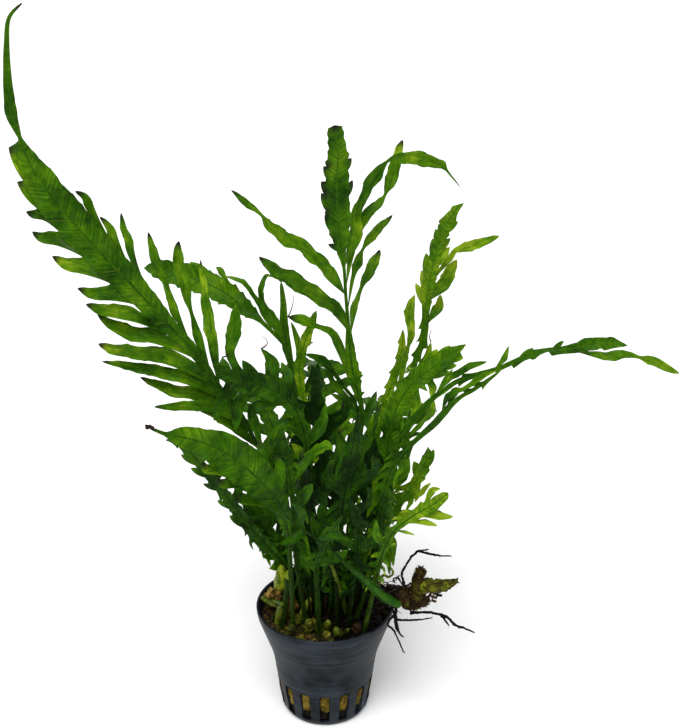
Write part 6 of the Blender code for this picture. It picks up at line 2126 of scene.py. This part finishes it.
# Cut leaf bases on the bed: place of the foot in the picture, place and nearness of the end, radius, material
# and tone
BASES = (
    ((282, 596), (281, 566, -19), (2.4, 3.2, 2.2, 0.6), "fresh", 0.60),
    ((288, 598), (288, 571, -19), (1.5, 1.9, 1.5, 0.4), "fresh", 0.36),
    ((276, 598), (277, 573, -18), (1.0, 1.6, 1.2, 0.3), "fresh", 0.28),
    ((267, 597), (283, 604, -15), (0.6, 0.9, 0.9, 0.6), "fresh", 0.15),
    ((299, 622), (310, 598, -13), (1.2, 1.2, 1.1, 0.7), "stalk", 0.62),
    ((277, 624), (281, 604, -15), (1.1, 1.1, 1.0, 0.6), "stalk", 0.62),
    ((347, 617), (331, 564, -21), (0.9, 0.9, 0.8, 0.6), "stalk", 0.42),
    ((309, 632), (311, 623, -18), (1.2, 1.6, 1.3, 0.5), "moss", 0.50),
    ((327, 629), (328, 621, -16), (1.2, 1.6, 1.4, 0.6), "stalk", 0.6),
    ((337, 637), (338, 629, -19), (1.0, 1.3, 1.1, 0.5), "moss", 0.44),
    ((292, 633), (293, 624, -16), (1.4, 1.8, 1.4, 0.6), "moss", 0.38),
    ((357, 631), (356, 624, -17), (1.4, 1.7, 1.4, 0.6), "scale", 0.42),
    ((265, 600), (277, 591, -6), (0.7, 1.3, 1.2, 0.4), "rust", 0.75),
    ((270, 604), (272, 589, -8), (0.5, 0.9, 1.0, 0.3), "rust", 0.95),
    ((283, 603), (278, 592, -9), (0.7, 1.2, 1.0, 0.4), "rust", 0.5),
    ((289, 617), (292, 599, -10), (1.2, 2.0, 1.8, 0.6), "rust", 0.42),
    ((285, 611), (297, 606, -12), (0.6, 1.2, 1.1, 0.4), "rust", 0.62),
    ((322, 634), (319, 628, -18), (0.9, 1.2, 1.0, 0.5), "stalk", 0.5),
    ((347, 634), (349, 629, -18), (0.7, 0.9, 0.8, 0.4), "moss", 0.36),
)
BASE_ROUGHNESS = {"stalk": 0.12, "fresh": 0.2, "moss": 0.7, "scale": 0.8, "rust": 1.1}

# Dried tips of leaflets: where each one ends in the picture, and how long it may be
DRY_TIPS = ((293.7, 295), (312, 342), (262.5, 336), (432.5, 329), (508.7, 346), (451, 370), (230, 352))
DRY_LENGTH = 9


def make_bases():
    """What is left of cut leaves on the bed, and brown dead pieces among them."""
    piles = {}
    for number, (foot, end, radii, kind, tone) in enumerate(BASES):
        start = on_bed(*foot)
        stop = seen(*end)
        sunk = start + (start - stop).normalized() * 1.5
        bend = Vector((wobble(number, 1.0), wobble(number, 4.0), 0.0)) * 2
        line = [(sunk, radii[0])]
        for t, radius in zip((0, 0.45, 0.8, 1), radii):
            line.append((start.lerp(stop, t) + bend * math.sin(math.pi * t), radius))
        fine = fine_path(line, 0.35)
        last = len(fine) - 1
        path = [point for point, _ in fine]
        rounded = [radius * math.sqrt(min(1.0, (last - i + 0.3) / 3)) for i, (_, radius) in enumerate(fine)]
        form = knobbly(path, rounded, 20, BASE_ROUGHNESS[kind], number)
        piles.setdefault(kind, Pile()).put(*form, tone=tone)
    for kind, pile in piles.items():
        pile.make("old_bases_" + kind, "old_stalk", [kind])


def make_curls(chance):
    """Dry brown curls that hang under the growing tip."""
    pile = Pile()
    for _ in range(CURLS):
        path = [seen(chance.uniform(425, 436), chance.uniform(590, 595), chance.uniform(-13, -10))]
        turn = chance.uniform(0, 6.3)
        for i in range(9):
            turn += chance.uniform(0.1, 0.9)
            step = Vector((0.5 * math.cos(turn), 0.3 * math.sin(turn * 1.3), 0.45 * math.sin(turn) - 0.32))
            path.append(path[-1] + step)
        radii = [0.12 + 0.42 * math.sin(math.pi * (i + 0.4) / 10) for i in range(10)]
        pile.put(*strand(path, radii, 6, 0.4), tone=chance.uniform(0.3, 0.95))
    pile.make("rhizome_curls", "rhizome", ["scale"])


def make_dry_tips(settled):
    """Thin brown ends that curl away from the tips of leaflets."""
    tips = [leaf[1][-1] for name, plan in settled.items() if name not in ROOTS for leaf in plan[1]]
    pile = Pile()
    for number, (across, down) in enumerate(DRY_TIPS):
        tip = min(tips, key=lambda point: (picture(point) - Vector((across, down + 9))).length)
        if picture(tip).y < down:
            continue
        end = seen(across, down, tip.y)
        if (end - tip).length > DRY_LENGTH:
            end = tip + (end - tip).normalized() * DRY_LENGTH
        bend = Vector((wobble(number, 1.0), 0.5 * wobble(number, 4.0), 0)) * 3
        path = [tip.lerp(end, i / 8) + bend * math.sin(math.pi * i / 8) for i in range(9)]
        pile.put(*strand(path, [0.34 - 0.03 * i for i in range(9)], 6, 0.7), tone=0.3)
    pile.make("dry_leaf_tips", "leaf", ["scale"])


# The pot and what fills it

def smooth_radius(height):
    """The pot's outer radius with its kinks rounded."""
    near = [min(max(height + step, 0.0), POT_HEIGHT) for step in (-1.2, -0.6, 0.0, 0.6, 1.2)]
    return sum(radius_at(place) for place in near) / len(near)


def make_fine_pot():
    """The pot: outer and inner walls in fine columns, with round-cornered slots through both."""
    across_slot = 5
    across_bar = 4
    per_slot = across_slot + across_bar
    columns = per_slot * SLOTS
    half_slot = math.pi * SLOT_SHARE / SLOTS
    corner = 0.9
    slot_heights = [SLOT_FLOOR + rise for rise in (0.0, 0.15, 0.45, corner)]
    slot_heights += [SLOT_FLOOR + (SLOT_TOP - SLOT_FLOOR) * share for share in (0.2, 0.4, 0.6, 0.8)]
    slot_heights += [SLOT_TOP - fall for fall in (corner, 0.45, 0.15, 0.0)]
    wall = [0.35, 0.9, 1.6] + slot_heights + [17.2, 19, 21, 23, 25, 27, 28.5, 30, 32, 34, 36, 38, 40, 42]
    wall += [43.6, 45, 46.2]
    outer = [(0.0, radius_at(0.0)), (0.08, radius_at(0.0) + 0.35)]
    outer += [(height, smooth_radius(height)) for height in wall]
    lip = [
        (46.75, RIM_RADIUS),
        (POT_HEIGHT, RIM_RADIUS - 0.25),
        (POT_HEIGHT, RIM_RADIUS - POT_WALL + 0.2),
        (46.8, RIM_RADIUS - POT_WALL),
    ]
    inner = [(height, smooth_radius(height) - POT_WALL) for height in wall[::-1] if height >= SLOT_FLOOR]
    inner.append((POT_FLOOR, radius_at(POT_FLOOR) - POT_WALL))
    rings = outer + lip + inner

    def opening(height):
        """The share of a slot's width that is open at a height: its corners are round."""
        near = min(height - SLOT_FLOOR, SLOT_TOP - height)
        if near < 0 or near >= corner:
            return 1.0
        return 1 - 0.32 * (1 - math.sqrt(max(1 - (1 - near / corner) ** 2, 0.0)))

    points = []
    for height, radius in rings:
        reach = half_slot * opening(height)
        for column in range(columns):
            slot, step = divmod(column, per_slot)
            middle = TURN * slot / SLOTS - math.pi / 2
            if step < across_slot:
                angle = middle - reach + 2 * reach * step / across_slot
            else:
                bar = TURN / SLOTS - 2 * reach
                angle = middle + reach + bar * (step - across_slot) / across_bar
            points.append(polar(radius, angle, height))

    def at(ring, column):
        return ring * columns + column % columns

    faces = []
    for ring in range(len(rings) - 1):
        low, high = sorted((rings[ring][0], rings[ring + 1][0]))
        slotted = SLOT_FLOOR <= low < high <= SLOT_TOP
        for a in range(columns):
            if not slotted or a % per_slot >= across_slot:
                faces.append((at(ring, a), at(ring, a + 1), at(ring + 1, a + 1), at(ring + 1, a)))
    match = {}
    for i, (height, _) in enumerate(rings):
        if SLOT_FLOOR <= height <= SLOT_TOP:
            match.setdefault(round(height, 3), []).append(i)
    levels = [match[height] for height in sorted(match)]
    for slot in range(SLOTS):
        left = slot * per_slot
        right = left + across_slot
        for (low_out, low_in), (high_out, high_in) in zip(levels, levels[1:]):
            faces.append((at(low_out, left), at(high_out, left), at(high_in, left), at(low_in, left)))
            faces.append((at(low_in, right), at(high_in, right), at(high_out, right), at(low_out, right)))
        for a in range(left, right):
            low_out, low_in = levels[0]
            high_out, high_in = levels[-1]
            faces.append((at(low_out, a), at(low_in, a), at(low_in, a + 1), at(low_out, a + 1)))
            faces.append((at(high_out, a + 1), at(high_in, a + 1), at(high_in, a), at(high_out, a)))
    faces.append(tuple(range(columns))[::-1])
    last = (len(rings) - 1) * columns
    faces.append(tuple(range(last, last + columns)))
    piece = make_piece("pot_shell", points, faces, ["pot"], crease=35.0)
    bevel = piece.modifiers.new("soft edges", "BEVEL")
    bevel.width = 0.18 * METRES
    bevel.segments = 2
    bevel.limit_method = "ANGLE"
    bevel.angle_limit = math.radians(50)
    dress(piece, "pot_plastic", "pot")


# How many fibres show in the slots and on the bed, and their radii from end to end
SIDE_FIBRES = 1300
BED_FIBRES = 400
FIBRE = (0.03, 0.06, 0.065, 0.06, 0.03)

# How far the wool and its fibres lie inside the pot's wall
WOOL_GAP = 0.35
WOOL_FALL = 0.25


def bed_relief(x, y):
    """The bed's height with its crumbs and hollows."""
    height = bed_height(x, y)
    height += 0.9 * wobble(x / 4.2, y / 4.2, 3.0) + 0.6 * wobble(x / 1.6, y / 1.6, 7.0)
    return height + 0.3 * wobble(x / 0.7, y / 0.7, 11.0)


def on_wool(x, y, lift=0.0):
    """The point that height above the bed's crumbs and hollows."""
    return Vector((x, y, bed_relief(x, y) + lift))


def in_bed(x, y, reach):
    return x * x + y * y < reach * reach


def plug_radius(height):
    return smooth_radius(height) - POT_WALL - WOOL_GAP


def bulge(angle, height):
    """How far the wool swells into the slots of the pot."""
    turn = (angle + math.pi / 2) * SLOTS / TURN
    beside = abs(turn - round(turn)) * 2 / SLOT_SHARE
    near = min(height - SLOT_FLOOR, SLOT_TOP - height)
    return 1.0 * smooth((0.86 - beside) / 0.25) * smooth((near - 0.3) / 1.2)


def make_wool():
    """The plug with a rough side and bed."""
    sectors = 240
    angles = [TURN * sector / sectors for sector in range(sectors)]
    heights = [POT_FLOOR + 0.2 + 0.9 * i for i in range(44)]
    points = []
    for height in heights:
        for angle in angles:
            rough = 0.45 * wobble(angle * 9, height / 1.5, 2.0) + 0.3 * wobble(angle * 26, height / 0.7, 5.0)
            radius = plug_radius(height) + min(rough, 0.0) * 1.3 - WOOL_FALL + bulge(angle, height)
            points.append(polar(radius, angle, height))
    tops = [25.2 - 0.55 * i for i in range(46)]
    for radius in tops:
        points += [on_wool(radius * math.cos(angle), radius * math.sin(angle)) for angle in angles]
    faces = rings_and_caps(sectors, len(heights) + len(tops))
    piece = make_piece("rockwool_plug_wool", points, faces, ["wool"], crease=80.0)
    dress(piece, "mineral_wool", "rockwool_plug")


def make_fibres():
    """Fibres of the wool in the slots of the pot and on the bed."""
    chance = random.Random(SEED + 2)
    fibres = Pile()
    for _ in range(SIDE_FIBRES):
        height = chance.uniform(8.2, SLOT_TOP + 1.0)
        angle = any_turn(chance)
        tilt = chance.choice((-1, 1)) * chance.uniform(0.5, 1.57)
        length = chance.uniform(2.0, 7.0)
        path = []
        for i in range(5):
            run = length * (i / 4 - 0.5)
            high = min(max(height + run * math.sin(tilt) + 0.5 * wobble(i, angle * 9), 7.4), 20.0)
            around = angle + run * math.cos(tilt) / 18
            radius = plug_radius(high) - WOOL_FALL + 0.22 * math.sin(math.pi * i / 4)
            radius += 0.1 * wobble(i * 2, height)
            path.append(polar(radius + bulge(around, high), around, high))
        fibres.put(*strand(path, FIBRE, 4), tone=chance.uniform(0.45, 0.8))
    for _ in range(BED_FIBRES):
        x, y = any_spot(chance, 24.0)
        turn = any_turn(chance)
        length = chance.uniform(2.0, 6.0)
        path = []
        for i in range(5):
            run = length * (i / 4 - 0.5)
            px = x + run * math.cos(turn) + 0.6 * wobble(i * 0.8, x)
            py = y + run * math.sin(turn) + 0.6 * wobble(i * 0.8, y, 4.0)
            path.append(on_wool(px, py, 0.15 + 0.5 * math.sin(math.pi * i / 4) * chance.random()))
        if all(in_bed(point.x, point.y, 24.6) for point in path):
            fibres.put(*strand(path, FIBRE, 4), tone=chance.uniform(0.0, 0.5))
    fibres.make("wool_fibres", "mineral_wool", ["fibre"])


# How many grains of dirt and of moss, cushions of moss and dead bits lie on the bed, and how many roots make
# the mat on it and rise beside the rhizome
DIRT_GRAINS = 1100
MOSS_GRAINS = 360
MOSS_CUSHIONS = 16
DEAD_BITS = 60
MAT_ROOTS = 330
RISING_ROOTS = 90


def crumb(pile, centre, size, chance, kind, rings=4, sides=6, tone=0.5):
    """A small rough grain."""
    points = []
    squash = chance.uniform(0.55, 1.0)
    seed = chance.uniform(0, 50)
    for ring in range(rings):
        latitude = math.pi * (ring + 0.5) / rings
        for side in range(sides):
            angle = TURN * (side + 0.5 * (ring % 2)) / sides
            x = math.sin(latitude) * math.cos(angle)
            y = math.sin(latitude) * math.sin(angle)
            z = math.cos(latitude)
            lump = size * (1 + 0.5 * wobble(x * 1.7 + seed, y * 1.7, z * 1.7))
            points.append(centre + Vector((x * lump, y * lump, z * lump * squash)))
    pile.put(points, rings_and_caps(sides, rings), kind, tone)


def make_litter(chance):
    """Dirt, moss and dead bits on the bed."""
    litter = Pile()
    for _ in range(DIRT_GRAINS):
        x, y = any_spot(chance, 25.0)
        size = chance.uniform(0.2, 0.85)
        tone = chance.uniform(0.2, 0.8) if chance.random() < 0.95 else 1.6
        crumb(litter, on_wool(x, y, 0.3 * size), size, chance, 0, tone=tone)
    for _ in range(MOSS_GRAINS):
        x, y = chance.gauss(-8.0, 7.0), chance.gauss(-13.0, 6.0)
        if in_bed(x, y, 24.0):
            size = chance.uniform(0.25, 0.7)
            crumb(litter, on_wool(x, y, 0.5 * size), size, chance, 1)
    for _ in range(MOSS_CUSHIONS):
        x, y = chance.gauss(-6.0, 8.0), chance.gauss(-15.0, 4.0)
        if in_bed(x, y, 21.5):
            size = chance.uniform(1.0, 2.1)
            crumb(litter, on_wool(x, y, 0.5 * size), size, chance, 1, 14, 18, chance.uniform(0.4, 0.75))
    for _ in range(DEAD_BITS):
        x, y = chance.uniform(-20, 20), chance.uniform(-22, 10)
        turn = any_turn(chance)
        bend = chance.uniform(-1.0, 1.0)
        length = chance.uniform(2.5, 6.0)
        path = []
        for i in range(6):
            run = length * (i / 5 - 0.5)
            heading = turn + bend * i / 5
            lift = 0.5 + 0.4 * math.sin(i)
            path.append(on_wool(x + run * math.cos(heading), y + run * math.sin(heading), lift))
        if in_bed(x, y, 21.0):
            litter.put(*strand(path, (0.12, 0.4, 0.5, 0.45, 0.35, 0.1), 6, 0.35), 2, chance.uniform(0.3, 0.9))
    litter.make("bed_litter", "mineral_wool", ["dirt", "moss", "scale"])


def add_root(mat, path, radius, tones, chance):
    """A root of one thickness with thinner ends."""
    radii = [radius * (0.5 if i in (0, len(path) - 1) else 1.0) for i in range(len(path))]
    mat.put(*strand(path, radii, 6), tone=chance.uniform(*tones))


def make_root_mat(chance):
    """The mat of black roots on the right of the bed, and those that rise out of it beside the rhizome."""
    mat = Pile()
    for _ in range(MAT_ROOTS):
        x, y = chance.gauss(14.0, 5.5), chance.gauss(-12.0, 5.0)
        if not in_bed(x, y, 24.0):
            continue
        turn = any_turn(chance)
        radius = chance.uniform(0.14, 0.36)
        rise = chance.uniform(0.2, 4.2) * smooth(1.2 - math.dist((x, y), (18, -9)) / 16)
        path = []
        for i in range(14):
            turn += chance.uniform(-0.6, 0.6)
            x += 0.85 * math.cos(turn)
            y += 0.85 * math.sin(turn)
            if not in_bed(x, y, 25.2):
                break
            path.append(on_wool(x, y, rise * math.sin(math.pi * (i + 0.5) / 14) + 0.1))
        if len(path) > 3:
            add_root(mat, path, radius, (0.3, 0.7), chance)
    for _ in range(RISING_ROOTS):
        point = seen(chance.uniform(376, 404), chance.uniform(581, 604), chance.uniform(-14.5, -7.5))
        turn = any_turn(chance)
        path = []
        for i in range(8):
            turn += chance.uniform(-0.9, 0.9)
            step = Vector((0.8 * math.cos(turn), 0.25 * math.cos(3 * turn), 0.8 * math.sin(turn) - 0.2))
            point = point + step
            path.append(point)
        add_root(mat, path, chance.uniform(0.12, 0.34), (0.3, 0.9), chance)
    mat.make("root_mat", "root", ["root"])


# Stage, light and camera

FLOOR_HALF = 6.0
SKY_STRENGTH = 0.52
SUN_STRENGTH = 3.0
SUN_SIZE = math.radians(45)
SUN_WAY = Vector((0.2, 0.8, -1.35))


def make_stage():
    """The white floor."""
    corners = [(x * FLOOR_HALF, y * FLOOR_HALF, 0) for x, y in ((-1, -1), (1, -1), (1, 1), (-1, 1))]
    mesh = bpy.data.meshes.new("floor")
    mesh.from_pydata(corners, [], [(0, 1, 2, 3)])
    floor = bpy.data.objects.new("floor", mesh)
    bpy.context.scene.collection.objects.link(floor)
    made = Look("floor_white")
    colour = made.ramp(made.noise(6.0, 2.0), ((0.0, 0.95, 0.95, 0.95), (1.0, 0.96, 0.96, 0.96)))
    mesh.materials.append(made.finish(colour, 0.9, 0.0))


def make_light():
    """An even white sky, and a large soft sun from above and in front."""
    scene = bpy.context.scene
    world = bpy.data.worlds.new("studio")
    scene.world = world
    world.use_nodes = True
    background = world.node_tree.nodes["Background"]
    background.inputs["Color"].default_value = (1.0, 1.0, 1.0, 1.0)
    background.inputs["Strength"].default_value = SKY_STRENGTH
    scene.view_settings.view_transform = "Standard"
    sun = bpy.data.lights.new("soft sun", "SUN")
    sun.energy = SUN_STRENGTH
    sun.angle = SUN_SIZE
    made = bpy.data.objects.new("soft sun", sun)
    made.rotation_euler = SUN_WAY.to_track_quat("-Z", "Y").to_euler()
    scene.collection.objects.link(made)


def make_camera():
    """The camera at the viewer's eye, as wide as the picture."""
    camera = bpy.data.cameras.new("camera")
    camera.sensor_fit = "AUTO"
    camera.sensor_width = 36.0
    camera.lens = camera.sensor_width * PIXELS_PER_RADIAN / (2 * PICTURE_MIDDLE[1])
    camera.clip_start = 0.01
    camera.clip_end = 50.0
    made = bpy.data.objects.new("camera", camera)
    made.location = EYE * METRES
    made.rotation_euler = (math.pi / 2 - LOOK_DOWN, 0.0, 0.0)
    bpy.context.scene.collection.objects.link(made)
    bpy.context.scene.camera = made


make_camera()
make_light()
make_stage()
settled, solid = layout()
settled, trees = grown_out(settled, solid)
make_fronds(settled)
make_fillers(trees + solid)
make_roots(settled)
make_stems()
make_bases()
make_dry_tips(settled)
make_fine_pot()
make_wool()
make_fibres()
litter_chance = random.Random(SEED + 3)
make_litter(litter_chance)
make_root_mat(litter_chance)

bpy.context.view_layer.update()
